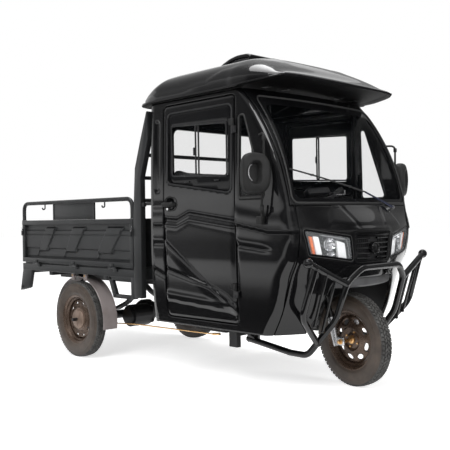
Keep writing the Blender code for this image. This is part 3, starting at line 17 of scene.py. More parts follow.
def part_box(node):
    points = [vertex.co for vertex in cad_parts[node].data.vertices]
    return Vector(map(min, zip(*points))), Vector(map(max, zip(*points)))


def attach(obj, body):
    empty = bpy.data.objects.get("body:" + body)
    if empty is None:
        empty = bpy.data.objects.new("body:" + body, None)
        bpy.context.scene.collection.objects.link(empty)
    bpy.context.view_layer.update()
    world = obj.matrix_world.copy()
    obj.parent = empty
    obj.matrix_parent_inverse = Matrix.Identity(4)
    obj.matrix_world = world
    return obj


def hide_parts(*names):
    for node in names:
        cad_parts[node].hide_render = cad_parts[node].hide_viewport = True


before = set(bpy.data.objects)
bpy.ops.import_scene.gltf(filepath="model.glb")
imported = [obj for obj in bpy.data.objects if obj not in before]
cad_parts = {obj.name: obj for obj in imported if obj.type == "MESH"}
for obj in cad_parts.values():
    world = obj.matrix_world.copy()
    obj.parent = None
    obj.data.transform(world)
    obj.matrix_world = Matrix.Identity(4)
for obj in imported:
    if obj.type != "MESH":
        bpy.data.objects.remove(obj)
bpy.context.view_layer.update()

REAR_AXLE = 1.960
tyre_low, tyre_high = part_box("rear_left_tyre")
AXLE_Y = (tyre_low.y + tyre_high.y) / 2 - REAR_AXLE
TO_ROW = Matrix.Translation((0, AXLE_Y, 0))


# Materials: every one is built from nodes in the surface's own space

def new_material(name):
    """An empty node material with its Principled shader."""
    material = bpy.data.materials.new(name)
    material.use_nodes = True
    return material, material.node_tree.nodes["Principled BSDF"]


def node(material, kind, settings=(), **inputs):
    """Adds a shader node, sets its properties and its input values by name."""
    item = material.node_tree.nodes.new(kind)
    for key, value in settings:
        setattr(item, key, value)
    put(item, **inputs)
    return item


def put(item, **values):
    """Sets a node's input values by name, with a low line for each space."""
    for key, value in values.items():
        item.inputs[key.replace("_", " ")].default_value = value


def wire(material, out, into):
    """Links an output socket to an input socket."""
    material.node_tree.links.new(out, into)


def grain(material, scale, detail=4.0, roughness=0.6):
    """A noise texture in object space, and its factor."""
    place = node(material, "ShaderNodeTexCoord")
    texture = node(material, "ShaderNodeTexNoise", Scale=scale, Detail=detail, Roughness=roughness)
    wire(material, place.outputs["Object"], texture.inputs["Vector"])
    return texture.outputs["Fac"]


def spread(material, factor, low, high):
    """Maps the middle of a noise's range onto a range of values."""
    step = node(material, "ShaderNodeMapRange", From_Min=0.3, From_Max=0.7, To_Min=low,
                To_Max=high)
    wire(material, factor, step.inputs["Value"])
    return step.outputs["Result"]


def two_tone(material, factor, first, second):
    """A colour ramp between two colours."""
    ramp = node(material, "ShaderNodeValToRGB")
    for element, place, tone in zip(ramp.color_ramp.elements, (0.35, 0.65), (first, second)):
        element.position = place
        element.color = (*tone, 1)
    wire(material, factor, ramp.inputs["Fac"])
    return ramp.outputs["Color"]


def bumped(material, shader, height, strength, distance):
    """Puts a bump under a shader's normal."""
    bump = node(material, "ShaderNodeBump", Strength=strength, Distance=distance)
    wire(material, height, bump.inputs["Height"])
    wire(material, bump.outputs["Normal"], shader.inputs["Normal"])


def surface(name, first, second, rough_low, rough_high, patch, bump_scale, bump_size,
            metallic=0.0, coat=0.0, coat_rough=0.03, specular=0.5, sheen=0.0):
    """A general material: two close colours in patches, uneven roughness and a fine bump."""
    material, shader = new_material(name)
    large = grain(material, patch)
    fine = grain(material, bump_scale, 6.0)
    wire(material, two_tone(material, large, first, second), shader.inputs["Base Color"])
    wire(material, spread(material, fine, rough_low, rough_high), shader.inputs["Roughness"])
    bumped(material, shader, fine, 0.35, bump_size)
    put(shader, Metallic=metallic, Coat_Weight=coat, Coat_Roughness=coat_rough,
        Specular_IOR_Level=specular, Sheen_Weight=sheen)
    return material


def glass(name, colour, alpha):
    """Thin clear glass: a see-through sheet with a sharp reflection and faint smears."""
    material, shader = new_material(name)
    smear = grain(material, 6.0, 8.0, 0.7)
    wire(material, spread(material, smear, 0.02, 0.07), shader.inputs["Roughness"])
    wire(material, two_tone(material, smear, colour, tuple(c * 0.9 for c in colour)),
         shader.inputs["Base Color"])
    put(shader, Specular_IOR_Level=0.25, Alpha=alpha, IOR=1.5)
    return material


BODY_BLACK = surface("body_black", (0.0030, 0.0030, 0.0033), (0.0050, 0.0050, 0.0055), 0.16,
                     0.24, 3.0, 60.0, 0.00015, coat=0.62, coat_rough=0.04,
                     specular=0.05)
SATIN_BLACK = surface("satin_black", (0.008, 0.008, 0.009), (0.014, 0.014, 0.015), 0.32, 0.42,
                      8.0, 220.0, 0.0003, metallic=0.2)
BED_GREY = surface("bed_grey", (0.016, 0.017, 0.018), (0.024, 0.025, 0.026), 0.34, 0.46,
                   6.0, 260.0, 0.0004, metallic=0.35)
TRIM_BLACK = surface("trim_black", (0.010, 0.010, 0.010), (0.016, 0.016, 0.016), 0.50, 0.62,
                     9.0, 420.0, 0.0005, specular=0.22)
TYRE = surface("tyre", (0.024, 0.023, 0.022), (0.070, 0.069, 0.066), 0.62, 0.80,
               22.0, 300.0, 0.0006)
SIDEWALL = surface("tyre_wall", (0.030, 0.020, 0.014), (0.058, 0.042, 0.031), 0.42, 0.60,
                   16.0, 240.0, 0.0004)
BRASS = surface("brass", (0.62, 0.36, 0.14), (0.78, 0.50, 0.24), 0.22, 0.36,
                25.0, 160.0, 0.0002, metallic=1.0)
HUB_BRONZE = surface("hub_cap", (0.17, 0.12, 0.09), (0.24, 0.175, 0.14), 0.30, 0.42,
                     18.0, 160.0, 0.0003, metallic=0.5)
BRONZE = surface("rim_bronze", (0.062, 0.040, 0.028), (0.098, 0.066, 0.048), 0.22, 0.34,
                 12.0, 200.0, 0.0002, metallic=0.55)
SILVER = surface("silver", (0.42, 0.42, 0.43), (0.52, 0.52, 0.53), 0.20, 0.32,
                 14.0, 180.0, 0.0002, metallic=1.0)
CHROME = surface("chrome", (0.72, 0.72, 0.74), (0.80, 0.80, 0.82), 0.05, 0.10,
                 10.0, 100.0, 0.0001, metallic=1.0)
SEAT = surface("seat_vinyl", (0.012, 0.012, 0.013), (0.020, 0.020, 0.021), 0.42, 0.58,
               10.0, 500.0, 0.0006, sheen=0.1)
GUARD = surface("guard_grey", (0.20, 0.17, 0.165), (0.28, 0.245, 0.24), 0.40, 0.55,
                7.0, 200.0, 0.0004)
RED_LENS = surface("red_lens", (0.35, 0.008, 0.008), (0.45, 0.015, 0.012), 0.08, 0.14,
                   20.0, 90.0, 0.0004, coat=0.6)
RUBBER = surface("rubber_seal", (0.009, 0.009, 0.009), (0.014, 0.014, 0.014), 0.55, 0.70,
                 18.0, 600.0, 0.0003)
FRIT = surface("glass_border", (0.004, 0.004, 0.0045), (0.006, 0.006, 0.0065), 0.06, 0.10,
               5.0, 90.0, 0.0001, coat=0.10, specular=0.10)
AMBER = surface("amber", (0.75, 0.12, 0.01), (0.85, 0.18, 0.02), 0.10, 0.16,
                30.0, 120.0, 0.0004, coat=0.6)
UNDER_BLACK = surface("under_black", (0.0022, 0.0022, 0.0024), (0.0040, 0.0040, 0.0042), 0.55,
                      0.70, 9.0, 240.0, 0.0003, specular=0.12)
MESH_GREY = surface("mesh_grey", (0.10, 0.10, 0.105), (0.15, 0.15, 0.155), 0.35, 0.45,
                    30.0, 260.0, 0.0002, metallic=0.6)
LIP_GREY = surface("lip_grey", (0.055, 0.055, 0.057), (0.085, 0.085, 0.088), 0.34, 0.46,
                   9.0, 180.0, 0.0003)
LAMP_WHITE = surface("lamp_white", (0.86, 0.86, 0.87), (0.95, 0.95, 0.96), 0.12, 0.20,
                     26.0, 120.0, 0.0002, coat=0.6)
BLUE_STEEL = surface("blue_steel", (0.012, 0.016, 0.045), (0.020, 0.026, 0.065), 0.16, 0.26,
                     14.0, 140.0, 0.0002, metallic=0.6, coat=0.5)
WINDOW = glass("window_glass", (0.012, 0.014, 0.016), 0.06)
LAMP_LENS = glass("lamp_lens", (0.75, 0.78, 0.80), 0.12)

CARRIED = (
    (BODY_BLACK, "nose_panel screen_frame side_frame_left side_frame_right rear_wall door_left "
                 "door_right roof roof_scoop bull_bar"),
    (SATIN_BLACK, "fork chassis_frame outrigger_left outrigger_right rear_axle motor floor_pan"),
    (BED_GREY, "bed_frame bed_floor side_panel_left side_panel_right side_rail_left "
               "side_rail_right tailgate headboard"),
    (TRIM_BLACK, "handlebar battery_box grille dashboard seat_box mirror_left mirror_right wiper"),
    (TYRE, "front_tyre rear_left_tyre rear_right_tyre"),
    (BRONZE, "front_rim rear_left_rim rear_right_rim"),
    (SEAT, "seat_cushion seat_back"),
    (GUARD, "mudguard_left mudguard_right"),
    (RED_LENS, "tail_lamp_left tail_lamp_right"),
    (WINDOW, "windscreen quarter_glass_left quarter_glass_right rear_glass door_glass_left "
             "door_glass_right"),
    (LAMP_LENS, "headlamp_left headlamp_right"),
)
for paint, names in CARRIED:
    for name in names.split():
        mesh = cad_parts[name].data
        mesh.materials.clear()
        mesh.materials.append(paint)


# Mesh helpers: each adds geometry to a bmesh, in the coordinates of the CAD source

def mesh_of(name, shape):
    """A mesh with a bmesh's geometry; the bmesh is freed."""
    mesh = bpy.data.meshes.new(name)
    shape.to_mesh(mesh)
    shape.free()
    return mesh


def new_object(name, data):
    """An object of the scene that shows a mesh, a light or a camera."""
    item = bpy.data.objects.new(name, data)
    bpy.context.scene.collection.objects.link(item)
    return item


def add_piece(name, shape, body, paints, replaces=(), angle=38, place=None):
    """Makes a bmesh an object that rides on a body, with its paints and smooth shading."""
    mesh = mesh_of(name, shape)
    if place is not None:
        mesh.transform(place)
    mesh.transform(TO_ROW)
    for paint in paints:
        mesh.materials.append(paint)
    mesh.shade_smooth()
    mesh.set_sharp_from_angle(angle=math.radians(angle))
    item = new_object(name, mesh)
    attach(item, body)
    if replaces:
        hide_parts(*replaces)


def mirror_shape(shape):
    """The same geometry on the other side of the vehicle."""
    other = shape.copy()
    bmesh.ops.scale(other, vec=(-1, 1, 1), verts=other.verts)
    bmesh.ops.reverse_faces(other, faces=other.faces)
    return other


def add_pair(name, shape, body, paints, node_name="", angle=38):
    """A piece for the left side and its mirror image; {} in the body's name is the side."""
    for side, form in (("left", shape), ("right", mirror_shape(shape))):
        add_piece(f"{name}_{side}", form, body.format(side), paints,
                  [f"{node_name}_{side}"] if node_name else (), angle)


def round_spot(x, reach, angle):
    """A point at an angle about the X axis."""
    return Vector((x, reach * math.cos(angle), reach * math.sin(angle)))


def orient(shape):
    """Turns every face of a closed form outward."""
    bmesh.ops.recalc_face_normals(shape, faces=shape.faces)


def paint_faces(faces, index):
    """Gives faces one of their piece's materials."""
    for face in faces:
        face.material_index = index


def span(side, first, last):
    """Two distances from the middle as a low and a high x on one side."""
    return sorted((side * first, side * last))


def soft_knots(places, values):
    """A curve through knots that never overshoots, as a function."""
    steps = [(b - a) / (d - c) for a, b, c, d in zip(values, values[1:], places, places[1:])]
    slopes = [steps[0]]
    for before, after in zip(steps, steps[1:]):
        slopes.append(0.0 if before * after <= 0 else 2 * before * after / (before + after))
    slopes.append(steps[-1])

    def value_at(place):
        place = min(max(place, places[0]), places[-1])
        spot = 0
        while spot < len(places) - 2 and place > places[spot + 1]:
            spot += 1
        span = places[spot + 1] - places[spot]
        t = (place - places[spot]) / span
        return (values[spot] * (1 + 2 * t) * (1 - t) ** 2 + slopes[spot] * span * t * (1 - t) ** 2
                + values[spot + 1] * t * t * (3 - 2 * t)
                + slopes[spot + 1] * span * t * t * (t - 1))

    return value_at


def knot_curves(rows):
    """One such curve for each column after the first, over the first."""
    columns = list(zip(*rows))
    return [soft_knots(columns[0], column) for column in columns[1:]]


def sweep(shape, rings, index=0, around=True, closed=False, caps=True):
    """Joins rings of points into one surface; around closes each ring, closed the sweep."""
    rows = [[shape.verts.new(point) for point in ring] for ring in rings]
    count = len(rows[0])
    pairs = list(zip(rows, rows[1:] + rows[:1]))
    made = []
    for first, second in pairs if closed else pairs[:-1]:
        for spot in range(count if around else count - 1):
            after = (spot + 1) % count
            made.append(shape.faces.new((first[spot], first[after], second[after],
                                         second[spot])))
    if caps and around and not closed:
        made += [shape.faces.new(row) for row in (rows[0][::-1], rows[-1])]
    paint_faces(made, index)


def spin(shape, profile, place, steps=64, index=0):
    """Turns a profile of (radius, offset) about the X axis of a placing matrix."""
    rings = []
    for step in range(steps):
        angle = math.radians(360.0 * step / steps)
        rings.append([place @ round_spot(offset, radius, angle) for radius, offset in profile])
    sweep(shape, rings, index, around=False, closed=True, caps=False)


def soft_path(points, bend, steps=6):
    """A path whose corners are rounded by about the bend distance."""
    spots = [Vector(point) for point in points]
    path = [spots[0]]
    for before, corner, after in zip(spots, spots[1:], spots[2:]):
        reach = min(bend, (corner - before).length * 0.49, (after - corner).length * 0.49)
        first = corner + (before - corner).normalized() * reach
        last = corner + (after - corner).normalized() * reach
        for step in range(steps + 1):
            share = step / steps
            path.append(first.lerp(corner, share).lerp(corner.lerp(last, share), share))
    path.append(spots[-1])
    return path


def circle(centre, side, other, reach, sides):
    """Points round a centre, in the plane of two directions."""
    return [centre + (side * math.cos(math.tau * n / sides)
                      + other * math.sin(math.tau * n / sides)) * reach for n in range(sides)]


def pipe(shape, points, radius, sides=20, bend=0.0, index=0, end_radius=None, steps=6):
    """A round tube along a path, with closed ends."""
    path = soft_path(points, bend, steps) if bend > 0 else [Vector(point) for point in points]
    last = radius if end_radius is None else end_radius
    along = (path[1] - path[0]).normalized()
    side = along.orthogonal().normalized()
    rings = []
    for spot, point in enumerate(path):
        ahead = path[min(spot + 1, len(path) - 1)] - path[max(spot - 1, 0)]
        ahead.normalize()
        side = (side - ahead * side.dot(ahead)).normalized()
        other = ahead.cross(side)
        reach = radius + (last - radius) * spot / (len(path) - 1)
        rings.append(circle(point, side, other, reach, sides))
    sweep(shape, rings, index)


def globe(shape, centre, radius, index=0, rings=14, stretch=(1, 1, 1)):
    """A round ball, or one stretched along the axes."""
    made = bmesh.ops.create_uvsphere(shape, u_segments=rings * 2, v_segments=rings, radius=radius)
    for vertex in made["verts"]:
        vertex.co = Vector(a * b for a, b in zip(vertex.co, stretch)) + Vector(centre)
    paint_faces({face for vertex in made["verts"] for face in vertex.link_faces}, index)


def block(shape, low, high, bevel=0.002, index=0, segments=2, place=None):
    """A box with rounded edges between two corners."""
    low = Vector(low)
    high = Vector(high)
    verts = bmesh.ops.create_cube(shape, size=1.0)["verts"]
    size = high - low
    for vertex in verts:
        vertex.co = (low + high) / 2 + Vector(a * b for a, b in zip(vertex.co, size))
    faces = {face for vertex in verts for face in vertex.link_faces}
    paint_faces(faces, index)
    if bevel > 0:
        edges = list({edge for face in faces for edge in face.edges})
        cut = bmesh.ops.bevel(shape, geom=edges, offset=min(bevel, min(size) * 0.45),
                              segments=segments, profile=0.5, affect="EDGES")
        verts = {vertex for face in cut["faces"] for vertex in face.verts}
        verts |= {vertex for face in faces if face.is_valid for vertex in face.verts}
        paint_faces(cut["faces"], index)
    if place is not None:
        for vertex in verts:
            vertex.co = place @ vertex.co


def disc(shape, start, end, radius, sides=24, bevel=0.002, index=0):
    """A short round bar with rounded rims."""
    first = Vector(start)
    last = Vector(end)
    along = (last - first).normalized()
    side = along.orthogonal().normalized()
    other = along.cross(side)
    length = (last - first).length
    stations = ((radius - bevel, 0.0), (radius - bevel * 0.3, bevel * 0.3), (radius, bevel),
                (radius, length - bevel), (radius - bevel * 0.3, length - bevel * 0.3),
                (radius - bevel, length))
    sweep(shape, [circle(first + along * far, side, other, reach, sides)
                  for reach, far in stations], index)


def rounded(corners, radius, steps=6):
    """A closed outline with arcs of about the radius at its corners; radius may be a list."""
    count = len(corners)
    radii = radius if isinstance(radius, (list, tuple)) else [radius] * count
    outline = []
    for spot in range(count):
        corner = Vector(corners[spot])
        before = Vector(corners[spot - 1]) - corner
        after = Vector(corners[(spot + 1) % count]) - corner
        half = before.angle(after) / 2
        reach = radii[spot] / math.tan(half) if radii[spot] > 0 else 0
        reach = min(reach, before.length * 0.48, after.length * 0.48)
        if reach < 1e-5:
            outline.append(corner)
            continue
        size = reach * math.tan(half)
        centre = corner + (before.normalized() + after.normalized()).normalized() * (
            size / math.sin(half))
        first = corner + before.normalized() * reach - centre
        last = corner + after.normalized() * reach - centre
        swing = first.angle_signed(last)
        for step in range(steps + 1):
            turn = -swing * step / steps
            outline.append(centre + Vector((first.x * math.cos(turn) - first.y * math.sin(turn),
                                            first.x * math.sin(turn) + first.y * math.cos(turn))))
    return outline


def dense(outline, step):
    """The outline with extra points, so that no side is longer than the step."""
    points = []
    for spot in range(len(outline)):
        start = Vector(outline[spot])
        end = Vector(outline[(spot + 1) % len(outline)])
        count = max(1, math.ceil((end - start).length / step))
        points += [start.lerp(end, n / count) for n in range(count)]
    return points


def area(outline):
    """Signed area of a closed outline, above zero when it runs anticlockwise."""
    return sum(a.x * b.y - b.x * a.y for a, b in zip(outline, outline[1:] + outline[:1])) / 2


def inward(outline, amount, hole=False):
    """Each point of an outline moved to its inner side, or away from it for a hole."""
    sign = 1 if area(outline) > 0 else -1
    if hole:
        sign = -sign
    moved = []
    count = len(outline)
    for spot in range(count):
        first = (outline[spot] - outline[spot - 1]).normalized()
        second = (outline[(spot + 1) % count] - outline[spot]).normalized()
        along = first + second
        if along.length < 1e-6:
            along = second
        along.normalize()
        normal = Vector((-along.y, along.x)) * sign
        stretch = 1 / max(0.5, normal.dot(Vector((-second.y, second.x)) * sign))
        moved.append(outline[spot] + normal * amount * min(stretch, 1.5))
    return moved


def inside(points, outline):
    """For each row of an array, whether it lies inside the outline."""
    result = numpy.zeros(len(points), bool)
    x, y = points[:, 0], points[:, 1]
    for start, end in zip(outline, outline[1:] + outline[:1]):
        crosses = (start.y > y) != (end.y > y)
        if start.y != end.y:
            at = (end.x - start.x) * (y - start.y) / (end.y - start.y) + start.x
            result ^= crosses & (x < at)
    return result


def rim_distance(points, loops):
    """For each row of an array, how far the nearest side of the loops is."""
    best = numpy.full(len(points), 9.0)
    for loop in loops:
        for start, end in zip(loop, loop[1:] + loop[:1]):
            way = numpy.array(end - start)
            reach = float(way @ way)
            if reach < 1e-14:
                continue
            offset = points - numpy.array(start)
            share = numpy.clip(offset @ way / reach, 0, 1)
            gap = offset - share[:, None] * way
            best = numpy.minimum(best, numpy.sqrt((gap ** 2).sum(1)))
    return best


def chart_normal(chart, u, v, nudge):
    """The outward direction of a chart's surface."""
    along = Vector(chart(u + nudge, v)) - Vector(chart(u - nudge, v))
    across = Vector(chart(u, v + nudge)) - Vector(chart(u, v - nudge))
    return along.cross(across).normalized()


def skin(shape, outer, holes, chart, thickness, step, edge=0.003, dent=None, index=0,
         back=False):
    """A curved panel: an outline with holes on a chart that gives the surface's points.

    Its rims are rounded over the edge distance and turned back by the thickness. dent(u, v)
    raises or lowers the surface, and back adds its inner face.
    """
    outer = dense([Vector(p) for p in outer], step)
    holes = [dense([Vector(p) for p in hole], step) for hole in holes]
    loops = [outer] + holes
    points = []
    links = []
    for order, loop in enumerate(loops):
        for share in (0.0, 0.3, 1.0) if edge > 0 else (0.0,):
            ring = loop if share == 0 else inward(loop, edge * share, order > 0)
            base = len(points)
            points += ring
            links += [(base + n, base + (n + 1) % len(ring)) for n in range(len(ring))]
    low = Vector((min(p.x for p in outer), min(p.y for p in outer)))
    high = Vector((max(p.x for p in outer), max(p.y for p in outer)))
    grid = []
    rows = max(2, int((high.y - low.y) / (step * 0.87)))
    for row in range(1, rows):
        v = low.y + (high.y - low.y) * row / rows
        columns = max(2, int((high.x - low.x) / step))
        for column in range(columns + 1):
            grid.append((low.x + (high.x - low.x) * (column + 0.5 * (row % 2)) / columns, v))
    grid = numpy.array(grid)
    keep = inside(grid, outer)
    for hole in holes:
        keep &= ~inside(grid, hole)
    grid = grid[keep]
    grid = grid[rim_distance(grid, loops) > edge + step * 0.45]
    points += [Vector(p) for p in grid]
    flat, _, faces, origin, _, _ = geometry.delaunay_2d_cdt(points, links, [], 0, 1e-6)
    spots = numpy.array([(p.x, p.y) for p in flat])
    middles = numpy.array([spots[list(face)].mean(0) for face in faces])
    keep = inside(middles, outer)
    for hole in holes:
        keep &= ~inside(middles, hole)
    gap = rim_distance(spots, loops)
    places = []
    normals = []
    for (u, v), far in zip(spots, gap):
        normal = chart_normal(chart, u, v, 0.0006)
        drop = 0.0
        if edge > 0 and far < edge:
            drop = edge - math.sqrt(max(0.0, edge ** 2 - (edge - far) ** 2))
        rise = dent(u, v) if dent else 0.0
        places.append(Vector(chart(u, v)) + normal * (rise - drop))
        normals.append(normal)
    verts = [shape.verts.new(place) for place in places]
    faces = [face for face, good in zip(faces, keep) if good]
    made = [shape.faces.new([verts[n] for n in face]) for face in faces]
    where = {}
    for number, sources in enumerate(origin):
        for source in sources:
            where[source] = number
    base = 0
    per_loop = 3 if edge > 0 else 1
    under = {}
    for order, loop in enumerate(loops):
        ring = [where[base + n] for n in range(len(loop))]
        base += len(loop) * per_loop
        lower = [shape.verts.new(places[n] - normals[n] * thickness) for n in ring]
        for n, vertex in zip(ring, lower):
            under[n] = vertex
        forward = (area(loop) > 0) == (order == 0)
        for n in range(len(ring)):
            after = (n + 1) % len(ring)
            if ring[n] == ring[after]:
                continue
            quad = (verts[ring[n]], lower[n], lower[after], verts[ring[after]])
            made.append(shape.faces.new(quad if forward else quad[::-1]))
    for face in faces if back else ():
        for n in face:
            if n not in under:
                under[n] = shape.verts.new(places[n] - normals[n] * thickness)
        made.append(shape.faces.new([under[n] for n in face][::-1]))
    paint_faces(made, index)
    loose = [vertex for vertex in shape.verts if not vertex.link_faces]
    bmesh.ops.delete(shape, geom=loose, context="VERTS")


def ridge(gap, width):
    """A soft ridge's share of its full height, at a distance from its line."""
    return math.exp(-(gap / width) ** 2)


def eased(value, power):
    """A sine or cosine drawn out or in, for ovals with squarer or sharper corners."""
    return math.copysign(abs(value) ** power, value)


def turned(degrees, axis):
    """A turning matrix."""
    return Matrix.Rotation(math.radians(degrees), 4, axis)


def smoothstep(value, low, high):
    """0 below low, 1 above high, and a soft change between."""
    share = min(max((value - low) / (high - low), 0.0), 1.0)
    return share * share * (3 - 2 * share)


def line_gap(u, v, points):
    """Signed height of a point over a broken line given from left to right."""
    if u <= points[0][0]:
        return v - points[0][1]
    for start, end in zip(points, points[1:]):
        if u <= end[0]:
            share = (u - start[0]) / (end[0] - start[0])
            return v - (start[1] + (end[1] - start[1]) * share)
    return v - points[-1][1]


# Cab: its form as curves through the source's sections, then its skins, doors and seals

SECTIONS = (
    (0.320, 0.535, 0.000, 0.205), (0.450, 0.552, -0.052, 0.150), (0.600, 0.560, -0.090, 0.105),
    (0.740, 0.564, -0.112, 0.038), (0.860, 0.564, -0.114, 0.020), (0.900, 0.564, -0.092, 0.024),
    (1.004, 0.562, -0.020, 0.030), (1.170, 0.560, 0.018, 0.070), (1.300, 0.557, 0.072, 0.118),
    (1.430, 0.553, 0.140, 0.186), (1.540, 0.549, 0.215, 0.260), (1.637, 0.545, 0.300, 0.345),
)
CORNER = 0.060


CAB_CURVES = knot_curves(SECTIONS)


def corner_of(z):
    """Plan of the rounded front corner: half width, nose, curve, and the arc's start."""
    half, nose, side = (curve_at(z) for curve_at in CAB_CURVES)
    curve = (side - nose) / half ** 2
    start = half - CORNER
    for _ in range(4):
        slope = math.atan(2 * curve * start)
        start = half - CORNER * (1 - math.sin(slope))
    depth = nose + curve * start ** 2 + CORNER * math.cos(slope)
    return half, nose, curve, start, depth


def front_y(x, z):
    """How far back the cab's front lies, seen from the front."""
    half, nose, curve, start, depth = corner_of(z)
    reach = abs(x)
    if reach <= start:
        return nose + curve * reach ** 2
    share = min(reach - (half - CORNER), CORNER)
    return depth - math.sqrt(CORNER ** 2 - share ** 2)


def side_x(y, z):
    """How far out the cab's side lies, seen from the side."""
    half, nose, curve, start, depth = corner_of(z)
    if y >= depth:
        return half
    if y >= nose + curve * start ** 2:
        return half - CORNER + math.sqrt(max(0.0, CORNER ** 2 - (depth - y) ** 2))
    return math.sqrt(max(0.0, (y - nose) / curve))


def front_chart(u, v):
    """The cab's front surface over x and z."""
    return (u, front_y(u, v), v)


def side_chart(u, v):
    """The cab's left surface over y and z."""
    return (side_x(u, v), u, v)


DOOR_FRONT = 0.390
DOOR_REAR = 0.990
DOOR_LOW = 0.362
DOOR_HIGH = 1.610
PANEL_GAP = 0.006
SEAM_X = 0.500
PILLAR_X = 0.532
CAB_LOW = 0.320
CAB_HIGH = 1.637
SKIN_THICK = 0.018
SKIN_STEP = 0.011
SKIN_EDGE = 0.004
DOOR_HINGES = (0.550, 1.436)
DOOR_PIN_X = 0.567
DOOR_PIN_Y = 0.393
DOOR = ((DOOR_FRONT, DOOR_LOW), (DOOR_REAR, DOOR_LOW), (DOOR_REAR, DOOR_HIGH),
        (DOOR_FRONT, DOOR_HIGH))
DOOR_WINDOW = ((0.415, 1.075), (0.955, 1.150), (0.955, 1.560), (0.415, 1.560))
QUARTER_WINDOW = ((0.362, 1.045), (0.362, 1.490), (0.322, 1.490), (0.170, 1.045))


def door_dent(u, v):
    """The pressed lines of the door: belt band, two diagonal folds and edge hollows."""
    rise = 0.0
    belt = line_gap(u, v, ((0.400, 0.917), (0.764, 0.965), (0.870, 0.925), (0.990, 0.933)))
    rise -= 0.007 * ridge(belt, 0.014)
    rise += 0.003 * ridge(belt + 0.030, 0.020)
    fold = line_gap(u, v, ((0.400, 0.462), (0.455, 0.515), (0.613, 0.577), (0.992, 0.828)))
    rise += 0.006 * smoothstep(-fold, 0.0, 0.006) * smoothstep(fold, -0.090, -0.004)
    second = line_gap(u, v, ((0.400, 0.448), (0.605, 0.560), (0.996, 0.648)))
    rise -= 0.005 * ridge(second, 0.010) * smoothstep(u, 0.44, 0.56)
    low = line_gap(u, v, ((0.400, 0.426), (1.001, 0.462)))
    rise -= 0.005 * smoothstep(-low, -0.004, 0.004)
    rise += 0.004 * ridge(low - 0.035, 0.022)
    hollow = 0.016 * math.sin(math.pi * min(max((v - 0.40) / 0.60, 0.0), 1.0))
    for edge in (DOOR_FRONT, DOOR_REAR):
        gap = abs(u - edge)
        rise -= hollow * (1 - smoothstep(gap, 0.0, 0.034)) * 0.6
    dish = math.hypot((u - 0.930) / 1.25, v - 1.030)
    rise -= 0.012 * (1 - smoothstep(dish, 0.018, 0.040))
    return rise


def quarter_dent(u, v):
    """Pressed lines of the front quarter and the hollow beside the door."""
    rise = 0.0
    upper = line_gap(u, v, ((0.120, 0.862), (0.157, 0.866), (0.385, 0.906)))
    rise += 0.006 * smoothstep(upper, -0.004, 0.003) * (1 - smoothstep(upper, 0.03, 0.12))
    lower = line_gap(u, v, ((0.124, 0.766), (0.383, 0.793)))
    rise -= 0.005 * ridge(lower, 0.011) * smoothstep(u, 0.10, 0.20)
    rise += 0.003 * ridge(lower - 0.045, 0.030) * smoothstep(u, 0.10, 0.22)
    gap = abs(u - DOOR_FRONT)
    hollow = math.sin(math.pi * min(max((v - 0.40) / 0.58, 0.0), 1.0))
    rise -= 0.010 * hollow * (1 - smoothstep(gap, 0.0, 0.030)) * (1 if u < DOOR_FRONT else 0)
    if u > DOOR_REAR:
        inner = rounded_gap(u, v, 1.048, 1.315, 0.020, 0.215, 0.020)
        rise -= 0.008 * (1 - smoothstep(inner, -0.006, 0.004))
        rise -= 0.006 * ridge(v - 0.62 - 0.35 * (u - 1.04), 0.012)
        rise += 0.004 * ridge(v - 1.02, 0.020)
    return rise


def rounded_gap(u, v, middle_u, middle_v, half_u, half_v, corner):
    """Distance outside a rounded rectangle, below zero inside it."""
    a = abs(u - middle_u) - (half_u - corner)
    b = abs(v - middle_v) - (half_v - corner)
    return math.hypot(max(a, 0), max(b, 0)) + min(max(a, b), 0) - corner


def nose_dent(u, v):
    """Hood folds that run up from the lamps, and the lip above the grille."""
    reach = abs(u)
    rise = 0.0
    fold = reach - (0.330 - 0.95 * (v - 0.885) * 0.8)
    rise += 0.007 * smoothstep(-fold, -0.006, 0.010) * smoothstep(v, 0.875, 0.905)
    rise -= 0.004 * ridge(reach - 0.118 - (v - 0.88) * 0.5, 0.008) * smoothstep(
        v, 0.86, 0.90)
    rise += 0.006 * ridge(v - 0.868, 0.012) * (1 - smoothstep(reach, 0.14, 0.20))
    return rise


LAMP = ((0.168, 0.700), (0.447, 0.742), (0.492, 0.884), (0.192, 0.838))
GRILLE = ((-0.143, 0.696), (0.143, 0.696), (0.161, 0.836), (-0.161, 0.836))


def flipped(outline):
    """An outline on the other side of the middle."""
    return [Vector((-p[0], p[1])) for p in outline][::-1]


def build_nose():
    """Fascia and hood: wheel arch, lamp and grille openings, and the pressed folds."""
    limit = SEAM_X - 0.0015
    low = CAB_LOW + 0.001
    arch = rounded(((-0.349, low), (-0.275, 0.610), (0.275, 0.610), (0.349, low)),
                   [0, 0.060, 0.060, 0], 8)
    outer = [Vector((-limit, low))] + arch + [Vector((limit, low)), Vector((limit, 0.9975)),
                                              Vector((-limit, 0.9975))]
    lamp = rounded(LAMP, 0.018)
    shape = bmesh.new()
    skin(shape, outer, [lamp, flipped(lamp), rounded(GRILLE, 0.012)], front_chart,
         SKIN_THICK, SKIN_STEP, SKIN_EDGE, nose_dent, back=True)
    add_piece("nose_skin", shape, "vehicle", [BODY_BLACK], ["nose_panel"])


